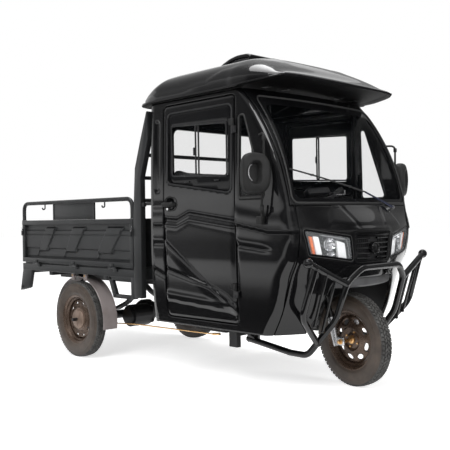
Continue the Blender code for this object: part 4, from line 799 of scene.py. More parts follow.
def build_sides():
    """Side frames around the doors, with their hinge halves, and the rubber seal along the doors'
    tops.
    """
    outer = []
    steps = 40
    for x, low, rise in ((SEAM_X, CAB_LOW + 0.001, 0.9975 - CAB_LOW - 0.001),
                         (PILLAR_X, 0.9985, CAB_HIGH - 0.001 - 0.9985)):
        for step in range(steps + 1):
            z = low + rise * step / steps
            outer.append(Vector((front_y(x + 0.001, z), z)))
    outer += [Vector((1.089, CAB_HIGH - 0.001)), Vector((1.089, CAB_LOW + 0.001))]
    shape = bmesh.new()
    skin(shape, outer, [rounded(DOOR, 0.030), rounded(QUARTER_WINDOW, 0.018)], side_chart,
         SKIN_THICK, SKIN_STEP, SKIN_EDGE, quarter_dent, back=True)
    for height in DOOR_HINGES:
        hinge_half(shape, height - 0.0205, -0.012)
    add_pair("side_skin", shape, "vehicle", [BODY_BLACK, SATIN_BLACK],
             "side_frame")
    seal = bmesh.new()
    for side in (-1, 1):
        pipe(seal, [(side * (side_x(y, 1.6075) - 0.0275), y, 1.6075)
                    for y in (DOOR_FRONT + 0.015, 0.6, 0.8, DOOR_REAR - 0.005)], 0.0075, 10)
    add_piece("door_top_seal", seal, "vehicle", [RUBBER])


def hinge_half(shape, height, reach):
    """Half of a door hinge: a knuckle and the leaf that carries it."""
    disc(shape, (DOOR_PIN_X, DOOR_PIN_Y, height - 0.0195),
         (DOOR_PIN_X, DOOR_PIN_Y, height + 0.0195), 0.008, 16, 0.0012, 1)
    low_y, high_y = sorted((DOOR_PIN_Y, DOOR_PIN_Y + reach * 2.2))
    bolt_y = DOOR_PIN_Y + reach * 1.5
    block(shape, (0.5655, low_y, height - 0.018), (0.5715, high_y, height + 0.018), 0.0015, 1)
    for z in (-0.010, 0.010):
        disc(shape, (0.570, bolt_y, height + z), (0.5735, bolt_y, height + z), 0.0035, 8,
             0.0008, 1)


def build_screen_frame():
    """Frame of the windscreen: the pillars' front faces, header and cowl strip."""
    limit = PILLAR_X - 0.001
    screen = ((-0.518, 1.012), (0.518, 1.012), (0.496, 1.592), (-0.496, 1.592))
    shape = bmesh.new()
    outer = [(-limit, 0.9995), (limit, 0.9995), (limit, CAB_HIGH - 0.001),
             (-limit, CAB_HIGH - 0.001)]
    skin(shape, outer, [rounded(screen, 0.040)], front_chart, SKIN_THICK, 0.012, SKIN_EDGE,
         back=True)
    add_piece("screen_frame_skin", shape, "vehicle", [BODY_BLACK],
              ["screen_frame"])
    band = bmesh.new()
    inner = rounded(((-0.492, 1.036), (0.492, 1.036), (0.470, 1.545), (-0.470, 1.545)), 0.045)
    skin(band, rounded(((-0.517, 1.013), (0.517, 1.013), (0.495, 1.591), (-0.495, 1.591)),
                       0.039), [inner],
         lambda u, v: (u, front_y(u, v) + 0.0028, v), 0.0012, 0.014, 0.0)
    add_piece("screen_border", band, "vehicle", [FRIT])
    seal = bmesh.new()
    loop = dense(rounded(screen, 0.040), 0.02)
    rings = []
    for spot, point in enumerate(loop):
        centre = Vector(front_chart(point.x, point.y)) + Vector((0, -0.0005, 0))
        ahead = loop[(spot + 1) % len(loop)] - loop[spot - 1]
        out = Vector((ahead.y, 0, -ahead.x)).normalized()
        rings.append([centre + out * 0.006 * math.cos(a) + Vector((0, -0.004, 0)) * math.sin(a)
                      for a in (0, 0.8, 1.57, 2.3, 3.14, 4.71)])
    sweep(seal, rings, closed=True)
    add_piece("screen_seal", seal, "vehicle", [RUBBER])


def seal_round(shape, outline, chart, radius, index=0, lift=0.0):
    """A rubber bead along an outline on a chart."""
    loop = dense(outline, 0.018)
    rings = []
    for spot, point in enumerate(loop):
        centre = Vector(chart(point.x, point.y))
        ahead = (Vector(chart(*loop[(spot + 1) % len(loop)]))
                 - Vector(chart(*loop[spot - 1]))).normalized()
        normal = chart_normal(chart, *point, 0.001)
        side = ahead.cross(normal)
        rings.append([centre + normal * (lift + radius * math.sin(a)) + side * radius * math.cos(a)
                      for a in (0, 0.8, 1.57, 2.35, 3.14, 4.71)])
    sweep(shape, rings, index, closed=True)


def build_doors():
    """Doors: pressed skin round the window, inner trim, handle in its dish and hinges."""
    gap = PANEL_GAP
    outline = ((DOOR_FRONT + gap, DOOR_LOW + gap), (DOOR_REAR - gap, DOOR_LOW + gap),
               (DOOR_REAR - gap, DOOR_HIGH - gap), (DOOR_FRONT + gap, DOOR_HIGH - gap))
    shape = bmesh.new()
    skin(shape, rounded(outline, 0.026), [rounded(DOOR_WINDOW, 0.035)], side_chart, 0.020, 0.010,
         0.0045, door_dent)
    trim = rounded(((0.412, 0.384), (0.968, 0.384), (0.968, 1.590), (0.412, 1.590)), 0.030)
    grown = ((0.405, 1.062), (0.965, 1.140), (0.965, 1.568), (0.405, 1.568))
    skin(shape, trim, [rounded(grown, 0.035)], lambda u, v: (0.526, -u, v), 0.012, 0.03, 0.004,
         index=1)
    fix_inner(shape, 1)
    block(shape, (0.498, 0.560, 0.760), (0.520, 0.860, 0.800), 0.010, 1, 3)
    block(shape, (0.500, 0.470, 0.430), (0.522, 0.800, 0.600), 0.012, 1, 3)
    pull = ((0.5665, 0.985, 1.024), (0.586, 0.975, 1.026), (0.590, 0.930, 1.026),
            (0.588, 0.895, 1.024), (0.560, 0.888, 1.022))
    handle = soft_path(pull, 0.014, 4)
    rings = []
    for spot, point in enumerate(handle):
        ahead = (handle[min(spot + 1, len(handle) - 1)] - handle[max(spot - 1, 0)]).normalized()
        up = Vector((0, 0, 1))
        side = ahead.cross(up).normalized()
        swell = 1 + 0.5 * math.sin(math.pi * spot / (len(handle) - 1))
        rings.append([point + side * 0.0065 * math.cos(a) + up * 0.0095 * swell * math.sin(a)
                      for a in [math.tau * n / 12 for n in range(12)]])
    sweep(shape, rings, 1)
    disc(shape, (0.562, 0.952, 1.000), (0.5655, 0.952, 1.000), 0.009, 20, 0.001, 2)
    dish = ((0.868, 0.990), (0.980, 0.990), (0.980, 1.068), (0.868, 1.068))
    seal_round(shape, rounded(dish, 0.036), side_chart, 0.004, 1, -0.001)
    for height in DOOR_HINGES:
        hinge_half(shape, height + 0.0205, 0.012)
    add_pair("door_skin", shape, "{}_door", [BODY_BLACK, TRIM_BLACK, CHROME],
             "door")


def fix_inner(shape, index):
    """Puts the trim, charted over minus y, back on its place."""
    faces = [face for face in shape.faces if face.material_index == index]
    for vertex in {vertex for face in faces for vertex in face.verts}:
        vertex.co.y = -vertex.co.y
    bmesh.ops.reverse_faces(shape, faces=faces)


def pane_chart(depth):
    """A flat chart over y and z for window frames."""
    return lambda u, v: (depth, u, v)


def build_door_windows():
    """Black border and two framed sliding panes over each door's glass, and the seal."""
    shape = bmesh.new()
    sight = ((0.455, 1.165), (0.930, 1.188), (0.930, 1.490), (0.455, 1.468))
    skin(shape, rounded(((0.4165, 1.077), (0.9535, 1.151), (0.9535, 1.5585), (0.4165, 1.5585)),
                        0.034), [rounded(sight, 0.022)], pane_chart(0.5455), 0.0035, 0.03,
         0.001)
    frames = (((0.466, 1.178), (0.707, 1.190), (0.707, 1.470), (0.466, 1.458)),
              ((0.697, 1.188), (0.922, 1.198), (0.922, 1.480), (0.697, 1.470)))
    for number, frame_outline in enumerate(frames):
        outer = rounded([(a + s * 0.010, b + t * 0.010) for (a, b), (s, t) in
                         zip(frame_outline, ((-1, -1), (1, -1), (1, 1), (-1, 1)))], 0.020)
        depth = 0.5500 - 0.004 * number
        skin(shape, outer, [rounded(frame_outline, 0.014)], pane_chart(depth), 0.004, 0.03,
             0.0012, index=1)
    block(shape, (0.548, 0.716, 1.300), (0.554, 0.728, 1.345), 0.002, 1)
    for y in (0.520, 0.770):
        block(shape, (0.547, y, 1.148), (0.553, y + 0.040, 1.156), 0.0015, 1)
    seal_round(shape, rounded(DOOR_WINDOW, 0.035), side_chart, 0.006, 1, -0.002)
    add_pair("door_window", shape, "{}_door", [FRIT, SATIN_BLACK])
    quarter = bmesh.new()
    seal_round(quarter, rounded(QUARTER_WINDOW, 0.018), side_chart, 0.006, 0, -0.002)
    inner = ((0.352, 1.057), (0.352, 1.480), (0.329, 1.480), (0.189, 1.057))
    skin(quarter, rounded(((0.360, 1.047), (0.360, 1.488), (0.3235, 1.488), (0.1735, 1.047)),
                          0.017), [rounded(inner, 0.014)],
         lambda u, v: (side_x(u, v) - 0.0045, u, v), 0.001, 0.02, 0.0, index=1)
    add_pair("quarter_seal", quarter, "vehicle", [RUBBER, FRIT])


build_nose()
build_sides()
build_screen_frame()
build_doors()
build_door_windows()


# Wheels: tyres with block tread, pressed rims with oval holes, hub caps

TYRE_R = 0.260
REAR_WHEEL_X = 0.520
STEER_BASE = Vector((0, 0.075, TYRE_R))
STEER_LINE = Vector((0, math.sin(math.radians(15)), math.cos(math.radians(15))))
STEER = (Matrix.Translation(STEER_BASE) @ Matrix.Rotation(math.radians(-11), 4, STEER_LINE)
         @ Matrix.Translation(-STEER_BASE))


def build_tyre(name, place, body, node_name):
    """Carcass with ridged side walls, and four rows of skewed tread blocks."""
    shape = bmesh.new()
    half = ((0.152, 0.024), (0.158, 0.031), (0.164, 0.0355), (0.170, 0.0385), (0.172, 0.0398),
            (0.1735, 0.0395), (0.176, 0.0415), (0.190, 0.0447), (0.203, 0.0458),
            (0.215, 0.0452), (0.222, 0.0440), (0.2235, 0.0447), (0.2255, 0.0447),
            (0.227, 0.0432), (0.234, 0.0408), (0.241, 0.0380), (0.2460, 0.0350),
            (0.2492, 0.0310), (0.2508, 0.0240), (0.2520, 0.0120), (0.2525, 0.0))
    profile = list(half) + [(r, -x) for r, x in half[-2::-1]]
    spin(shape, profile, place, 96)
    rows = ((-0.0350, -0.0195, 0.5, 0.30), (-0.0165, -0.0012, 0.0, -0.45),
            (0.0012, 0.0165, 0.5, 0.45), (0.0195, 0.0350, 0.0, -0.30))
    count = 68
    for low, high, phase, skew in rows:
        for number in range(count):
            corners = []
            for level in (0, 1):
                for x, share in ((low, -0.40), (high, -0.40), (high, 0.40), (low, 0.40)):
                    inset = 0.0009 * level
                    place_x = x + (inset if x == low else -inset)
                    lean = skew if x == high else -skew
                    wide = share * (1 - 0.10 * level) + lean * 0.5
                    crown = TYRE_R - 0.0006 - 3.2 * place_x ** 2
                    radius = crown if level else 0.2480 if abs(x) > 0.03 else 0.2515
                    angle = math.tau * (number + phase + wide) / count
                    corners.append(shape.verts.new(place @ round_spot(place_x, radius, angle)))
            base, top = corners[:4], corners[4:]
            shape.faces.new(top)
            for n in range(4):
                after = (n + 1) % 4
                shape.faces.new((base[n], base[after], top[after], top[n]))
    for number in range(count * 2):
        for side in (-1, 1):
            order = [shape.verts.new(place @ round_spot(
                side * x, radius, math.tau * (number + share) / (count * 2)))
                for radius, x, share in ((0.2275, 0.0436, -0.16), (0.2275, 0.0436, 0.16),
                                         (0.2440, 0.0376, 0.16), (0.2440, 0.0376, -0.16))]
            shape.faces.new(order if side > 0 else order[::-1])
    for face in shape.faces:
        middle = place.inverted() @ face.calc_center_median()
        reach = math.hypot(middle.y, middle.z)
        face.material_index = 1 if reach > 0.2440 else 0
    add_piece(name, shape, body, [SIDEWALL, TYRE], [node_name], 32)


def ellipse(u, v, reach_u, reach_v, turn, steps=28):
    """An oval outline, anticlockwise."""
    points = []
    for n in range(steps):
        a = math.tau * n / steps
        x, y = reach_u * math.cos(a), reach_v * math.sin(a)
        points.append(Vector((u + x * math.cos(turn) - y * math.sin(turn),
                              v + x * math.sin(turn) + y * math.cos(turn))))
    return points


DISH_FRONT = ((0.0, 0.012), (0.030, 0.012), (0.036, 0.006), (0.052, 0.005), (0.058, 0.013),
              (0.066, 0.016), (0.074, 0.012), (0.095, 0.010), (0.120, 0.004), (0.136, -0.006))
DISH_REAR = ((0.0, 0.014), (0.060, 0.014), (0.080, 0.010), (0.092, 0.000), (0.105, 0.002),
             (0.124, 0.004), (0.136, -0.004))


def through(knots, value):
    """A soft curve through knots of (value, result)."""
    for (a, first), (b, second) in zip(knots, knots[1:]):
        if value <= b:
            return first + (second - first) * smoothstep(value, a, b)
    return knots[-1][1]


def build_rim(name, place, side, body, node_name, front):
    """Rolled rim, drop well, dished disc and hub, facing the outer side."""
    flip = place @ Matrix.Diagonal((side, 1, 1, 1))
    shape = bmesh.new()
    half = ((0.1545, 0.0245), (0.160, 0.0300), (0.1655, 0.0345), (0.1680, 0.0362),
            (0.1685, 0.0372), (0.1672, 0.0378), (0.1645, 0.0374), (0.1605, 0.0352),
            (0.1560, 0.0318), (0.1515, 0.0290), (0.1485, 0.0250), (0.1480, 0.0190),
            (0.1460, 0.0150), (0.1385, 0.0115), (0.1360, 0.0080))
    profile = list(half) + [(0.1360, -0.0080)] + [(r, -x) for r, x in half[-2::-1]]
    spin(shape, profile, flip, 72)
    dish = DISH_FRONT if front else DISH_REAR
    outer = ellipse(0, 0, 0.1365, 0.1365, 0, 72)
    holes = []
    count, first, reach, oval = ((8, 0.35, 0.104, (0.0135, 0.0235, 28)) if front
                                 else (10, 0, 0.113, (0.0045, 0.0100, 16)))
    for n in range(count):
        a = math.tau * (n + first) / count
        holes.append(ellipse(reach * math.cos(a), reach * math.sin(a), *oval[:2], a, oval[2]))
    disc_shape = bmesh.new()

    def chart(u, v):
        return (through(dish, math.hypot(u, v)), u, v)

    def lip(u, v):
        rise = 0.0
        for hole in centres:
            a = math.atan2(hole.y, hole.x)
            along = (u - hole.x) * math.cos(a) + (v - hole.y) * math.sin(a)
            across = -(u - hole.x) * math.sin(a) + (v - hole.y) * math.cos(a)
            gap = math.hypot(along / 0.0135, across / 0.0235)
            rise -= 0.004 * (1 - smoothstep(gap, 1.0, 1.45))
        return rise

    centres = [sum(hole, Vector((0, 0))) / len(hole) for hole in holes]
    skin(disc_shape, outer, holes, chart, 0.004, 0.0055, 0.001, lip if front else None)
    for vertex in disc_shape.verts:
        vertex.co = flip @ vertex.co
    if side < 0:
        bmesh.ops.reverse_faces(disc_shape, faces=disc_shape.faces)
    paste(disc_shape, shape)
    if front:
        spin(shape, ((0.0, 0.036), (0.010, 0.036), (0.0125, 0.034), (0.013, 0.024),
                     (0.020, 0.022), (0.0235, 0.020), (0.025, 0.012)), flip, 28, 1)
        for n in range(4):
            a = math.tau * n / 4 + 0.4
            disc(shape, flip @ round_spot(0.004, 0.0445, a), flip @ round_spot(0.013, 0.0445, a),
                 0.0062, 6, 0.001, 1)
    else:
        spin(shape, ((0.0, 0.0335), (0.012, 0.0335), (0.030, 0.0328), (0.046, 0.0310),
                     (0.058, 0.0282), (0.064, 0.0255), (0.0675, 0.0225), (0.0690, 0.0190),
                     (0.0690, 0.0130), (0.074, 0.0120)), flip, 48, 2)
        spin(shape, ((0.0, 0.0350), (0.0085, 0.0348), (0.0100, 0.0335), (0.0105, 0.0325)),
             flip, 20, 2)
        for n in range(3):
            a = math.tau * n / 3 + 0.3
            pipe(shape, [flip @ round_spot(0.0335, 0.014, a), flip @ round_spot(0.0310, 0.046, a)],
                 0.0028, 8, index=2)
    spin(shape, ((0.0, -0.0300), (0.066, -0.0300), (0.070, -0.0270), (0.070, -0.0060),
                 (0.066, -0.0040), (0.0, -0.0040)), flip, 40, 3)
    valve = math.radians(200)
    pipe(shape, [flip @ round_spot(0.016, 0.140, valve), flip @ round_spot(0.030, 0.128, valve)],
         0.0035, 10, index=3)
    orient(shape)
    add_piece(name, shape, body, [BRONZE, BRASS, HUB_BRONZE, SATIN_BLACK],
              [node_name], 40)


def paste(source, target):
    """Copies one bmesh's geometry into another."""
    twins = {vertex: target.verts.new(vertex.co) for vertex in source.verts}
    for face in source.faces:
        made = target.faces.new([twins[vertex] for vertex in face.verts])
        made.material_index = face.material_index
    source.free()


def build_wheels():
    """The steered front wheel and the two rear ones."""
    front = STEER @ Matrix.Translation((0, 0.030, TYRE_R))
    build_tyre("front_tyre_tread", front, "front_wheel", "front_tyre")
    build_rim("front_rim_disc", front, -1, "front_wheel", "front_rim", True)
    for name, side in (("rear_left", 1), ("rear_right", -1)):
        place = Matrix.Translation((side * REAR_WHEEL_X, REAR_AXLE, TYRE_R))
        build_tyre(f"{name}_tyre_tread", place, f"{name}_wheel", f"{name}_tyre")
        build_rim(f"{name}_rim_disc", place, side, f"{name}_wheel", f"{name}_rim", False)


def on_axis(height):
    """A point on the steering axis at a height."""
    return STEER_BASE + STEER_LINE * ((height - TYRE_R) / STEER_LINE.z)


def build_fork():
    """Fork with black stanchions, silver sliders, brass axle nuts and the stem."""
    shape = bmesh.new()
    pipe(shape, [on_axis(0.606), on_axis(0.862)], 0.0157, 24)
    for x in (-0.055, 0.055):
        block(shape, (x - 0.058 if x > 0 else x - 0.060, -0.030, -0.014),
              (x + 0.060 if x > 0 else x + 0.058, 0.030, 0.014), 0.008, 0, 3,
              Matrix.Translation(on_axis(0.618))
              @ turned(-15, "X"))
    for side in (-1, 1):
        x = Vector((side * 0.088, 0, 0))
        pipe(shape, [on_axis(0.612) + x, on_axis(0.400) + x], 0.0165, 24)
        pipe(shape, [on_axis(0.415) + x, on_axis(0.385) + x], 0.0225, 24, end_radius=0.0210)
        pipe(shape, [on_axis(0.392) + x, on_axis(0.300) + x, on_axis(0.232) + x], 0.0205, 24,
             index=1, end_radius=0.0185)
        for height in (0.372, 0.340):
            pipe(shape, [on_axis(height) + x, on_axis(height - 0.006) + x], 0.0222, 24, index=1)
        low = Vector((side * 0.088, 0.030, TYRE_R))
        block(shape, (side * 0.088 - 0.0075, 0.008, TYRE_R - 0.024),
              (side * 0.088 + 0.0075, 0.086, TYRE_R + 0.026), 0.010, 1, 3)
        disc(shape, low, low + Vector((side * 0.014, 0, 0)), 0.017, 6, 0.002, 2)
        disc(shape, low, low + Vector((side * 0.024, 0, 0)), 0.0095, 16, 0.002, 2)
        disc(shape, low - Vector((side * 0.004, 0, 0)), low - Vector((side * 0.028, 0, 0)),
             0.014, 16, 0.002, 2)
    pipe(shape, [(-0.1100, 0.030, TYRE_R), (0.1100, 0.030, TYRE_R)], 0.0100, 16, index=2)
    add_piece("fork_legs", shape, "steering", [BODY_BLACK, SILVER, BRASS],
              ["fork"], place=STEER)


def build_handlebar():
    """Handlebar with grips, levers and the instrument pod with its screen."""
    shape = bmesh.new()
    neck = on_axis(1.035)
    foot = on_axis(0.8605)
    pipe(shape, [foot, neck], 0.0195, 24)
    grip = neck + Vector((0, 0.130, 0.050))
    middle = neck + Vector((0, 0, 0.004))

    def at(point, x):
        return Vector((x, point.y, point.z))

    pipe(shape, [at(grip, -0.310), at(middle, -0.100), at(middle, 0.100), at(grip, 0.310)],
         0.0110, bend=0.05)
    for side in (-1, 1):
        end = at(grip, side * 0.308)
        way = (at(middle, side * 0.100) - end).normalized()
        rings = [end + way * (0.004 + 0.012 * n) for n in range(11)]
        for spot, point in enumerate(rings):
            disc(shape, point, point + way * 0.0105, 0.0172 if spot % 2 else 0.0180, 18, 0.002, 1)
        disc(shape, end - way * 0.006, end + way * 0.006, 0.0205, 18, 0.003, 1)
        hold = end + way * 0.150
        block(shape, hold - Vector((0.022, 0.020, 0.018)), hold + Vector((0.022, 0.020, 0.018)),
              0.007, 0, 3)
        pipe(shape, [hold + Vector((0, -0.014, 0.004)), hold + Vector((side * 0.050, -0.040, 0)),
                     end + Vector((-side * 0.010, -0.050, -0.004))], 0.0048, 12, bend=0.02,
             index=2)
    pod = neck + Vector((0, -0.010, 0.045))
    tilt = Matrix.Translation(pod) @ turned(-25, "X")
    block(shape, (-0.082, -0.026, -0.020), (0.082, 0.030, 0.024), 0.014, 0, 4, tilt)
    block(shape, (-0.066, -0.018, 0.0225), (0.066, 0.022, 0.0262), 0.0015, 3, 2, tilt)
    add_piece("handlebar_grips", shape, "steering",
              [SATIN_BLACK, RUBBER, SILVER, FRIT], ["handlebar"], place=STEER)


build_wheels()
build_fork()
build_handlebar()


# Roof: smooth cap with its visor, folded flanks, gutter lip and the air scoop's lid

ROOF = (
    (0.090, 0.500, 0.488, 1.680, 1.693, 1.676), (0.130, 0.535, 0.520, 1.672, 1.716, 1.668),
    (0.200, 0.560, 0.545, 1.664, 1.764, 1.660), (0.300, 0.582, 0.560, 1.656, 1.813, 1.650),
    (0.400, 0.580, 0.558, 1.652, 1.842, 1.645), (0.460, 0.578, 0.552, 1.651, 1.846, 1.812),
    (0.700, 0.576, 0.548, 1.650, 1.846, 1.812), (0.950, 0.575, 0.545, 1.650, 1.845, 1.811),
    (1.060, 0.574, 0.545, 1.650, 1.842, 1.808), (1.120, 0.570, 0.540, 1.650, 1.826, 1.645),
    (1.170, 0.558, 0.530, 1.650, 1.795, 1.645), (1.215, 0.535, 0.510, 1.650, 1.748, 1.645),
    (1.250, 0.500, 0.475, 1.650, 1.696, 1.645), (1.268, 0.450, 0.420, 1.650, 1.662, 1.645),
)
ROOF_FOLD = ((0.300, 1.762), (0.512, 1.757), (0.576, 1.733), (0.643, 1.703), (0.903, 1.693),
             (1.187, 1.682))


ROOF_CURVES = knot_curves(ROOF)


def roof_top(x, y):
    """Height of the roof's top surface."""
    _, cap_half, edge_z, crown_z, _ = (curve(y) for curve in ROOF_CURVES)
    share = min(abs(x) / cap_half, 1.0)
    return edge_z + (crown_z - edge_z) * (1 - share ** 3) ** (1 / 3)


def roof_point(x, z, y):
    """A point of the top, drawn in above the pressed fold and dimpled near its front."""
    fold = -line_gap(y, 0.0, ROOF_FOLD)
    drawn = smoothstep(z, fold - 0.004, fold + 0.004) * smoothstep(y, 0.30, 0.42)
    side = smoothstep(abs(x), 0.36, 0.50)
    x *= 1 - 0.018 * drawn * side * (1 - smoothstep(y, 1.16, 1.24))
    for spot in (-0.30, 0.30):
        for number in range(3):
            gap = math.hypot((x - spot) / 0.030, (y - 0.46 - 0.075 * number) / 0.022)
            z -= 0.006 * (1 - smoothstep(gap, 0.5, 1.2))
    crease = abs(abs(x) - 0.235 - 0.10 * (0.60 - y))
    z += 0.0035 * ridge(crease, 0.010) * smoothstep(y, 0.16, 0.30) * (
        1 - smoothstep(y, 0.50, 0.60))
    rear = abs(abs(x) - 0.26)
    z -= 0.005 * ridge(rear, 0.014) * smoothstep(y, 0.66, 0.72) * (
        1 - smoothstep(y, 1.00, 1.08))
    return Vector((x, y, z))


def build_roof():
    """The cap as one closed shell from the visor's lip to the rear edge."""
    shape = bmesh.new()
    places = [0.090, 0.092, 0.096] + [0.102 + 0.014 * n for n in range(83)] + [1.266, 1.268]
    stations = [math.sin(math.pi / 2 * n / 28) ** 0.8 for n in range(29)]
    rings = []
    for y in places:
        half, cap_half, edge_z, crown_z, ceiling = (curve(y) for curve in ROOF_CURVES)
        lip = 0.004 * (1 - smoothstep(y, 0.090, 0.097))
        top = []
        for share in [-s for s in stations[::-1]] + stations[1:]:
            x = share * cap_half
            z = edge_z + (crown_z - edge_z) * (1 - abs(share) ** 3) ** (1 / 3)
            point = roof_point(x, z, y)
            point.z = max(point.z - lip, edge_z)
            top.append(point)
        low = CAB_HIGH + 0.0008 if y > 0.35 else edge_z - 0.010
        rim = [(half - 0.005, edge_z + 0.0008), (half - 0.0012, edge_z - 0.0008),
               (half, edge_z - 0.0035), (half, low + 0.0025), (half - 0.0008, low + 0.0008),
               (half - 0.003, low)]
        right = [Vector((x, y, z)) for x, z in rim]
        left = [Vector((-x, y, z)) for x, z in rim[::-1]]
        under = []
        for share in stations[::-1] + [-s for s in stations[1:]]:
            x = share * (cap_half - 0.006)
            roof_z = roof_top(x, y) - 0.016
            depth = smoothstep(cap_half - abs(x), 0.020, 0.050)
            under.append(Vector((x, y, low + (max(min(ceiling, roof_z), low) - low) * depth)))
        rings.append(top + right + under + left)
    sweep(shape, rings)
    orient(shape)
    for face in shape.faces:
        face.material_index = 2 if face.normal.z < -0.3 else 0
    for side in (-1, 1):
        for x in (0.245, 0.390):
            spot = Vector((side * x, 0.300, 1.6475))
            block(shape, spot - Vector((0.020, 0.028, 0.0)), spot + Vector((0.020, 0.028, 0.004)),
                  0.0015, 1)
            disc(shape, spot + Vector((0, -0.014, 0.001)), spot + Vector((0, -0.014, -0.003)),
                 0.006, 6, 0.001, 1)
    add_piece("roof_shell", shape, "vehicle",
              [BODY_BLACK, SATIN_BLACK, UNDER_BLACK], ["roof"])
    seal = bmesh.new()
    for side in (-1, 1):
        pipe(seal, [(side * (side_x(y, 1.630) + 0.004), y, 1.641)
                    for y in (0.36, 0.6, 0.9, 1.10)], 0.0045, 10)
    add_piece("roof_gutter_seal", seal, "vehicle", [RUBBER])


def rounded_ring(half, low, high, y, edge):
    """A rounded rectangle across the vehicle."""
    edge = min(edge, (high - low) * 0.48)
    flat = rounded(((-half, low), (half, low), (half, high), (-half, high)), edge)
    return [Vector((p[0], y, p[1])) for p in flat]


def build_scoop():
    """Air scoop: bowed lid with a thick rolled rim over a mesh band."""
    shape = bmesh.new()
    rows = ((0.5895, 0.216, 1.902), (0.606, 0.221, 1.913), (0.680, 0.225, 1.9155),
            (0.740, 0.225, 1.908), (0.800, 0.221, 1.892), (0.860, 0.209, 1.874),
            (0.930, 0.179, 1.856))
    wide, tall = knot_curves(rows)
    rings = []
    for step in range(35):
        y = 0.5895 + (0.930 - 0.5895) * step / 34
        high = tall(y)
        thick = 0.024 - 0.010 * smoothstep(y, 0.80, 0.93)
        rings.append(rounded_ring(wide(y), high - thick, high, y, 0.010))
    for ring in rings:
        for point in ring:
            share = abs(point.x) / 0.226
            point.z -= 0.006 * share ** 4
            inner = smoothstep(0.205 - abs(point.x), 0.0, 0.012) * smoothstep(point.y, 0.60, 0.625)
            if point.z > tall(point.y) - 0.010:
                point.z -= 0.0045 * inner * (1 - smoothstep(point.y, 0.84, 0.90))
    sweep(shape, rings)
    orient(shape)
    body = []
    for step in range(29):
        y = 0.600 + 0.315 * step / 28
        low = roof_top(0.19, y) - 0.006
        high = tall(y) - 0.018
        half = wide(y) - 0.012
        body.append([Vector((-half, y, low)), Vector((-half, y, max(high, low + 0.002))),
                     Vector((half, y, max(high, low + 0.002))), Vector((half, y, low))])
    sweep(shape, body, 1)
    for row in range(8):
        z = 1.843 + 0.0065 * row
        for side in (-1, 1):
            line = [(side * (wide(0.600 + 0.26 * n / 8) - 0.0105), 0.600 + 0.26 * n / 8, z)
                    for n in range(9) if z < tall(0.600 + 0.26 * n / 8) - 0.024]
            if len(line) > 1:
                pipe(shape, line, 0.0011, 5, index=2)
        if z < tall(0.600) - 0.024:
            pipe(shape, [(-0.205, 0.5985, z), (0.205, 0.5985, z)], 0.0011, 5, index=2)
    for number in range(54):
        x = -0.204 + 0.408 * number / 53
        pipe(shape, [(x, 0.5985, 1.838), (x, 0.5985, 1.884)], 0.0009, 4, index=2)
    for side in (-1, 1):
        for number in range(32):
            y = 0.602 + 0.24 * number / 31
            x = side * (wide(y) - 0.0105)
            pipe(shape, [(x, y, 1.838), (x, y, tall(y) - 0.020)], 0.0009, 4, index=2)
    add_piece("scoop_lid", shape, "vehicle", [BODY_BLACK, SATIN_BLACK, MESH_GREY],
              ["roof_scoop"])


build_roof()
build_scoop()


# Front details: headlamps, grille, arch lip and the bull bar

def lamp_chart(depth):
    """The nose's surface moved inward, over x and z."""
    def chart(u, v):
        here = Vector(front_chart(u, v))
        along = Vector(front_chart(u + 0.002, v)) - here
        up = Vector(front_chart(u, v + 0.002)) - here
        return here - along.cross(up).normalized() * depth
    return chart


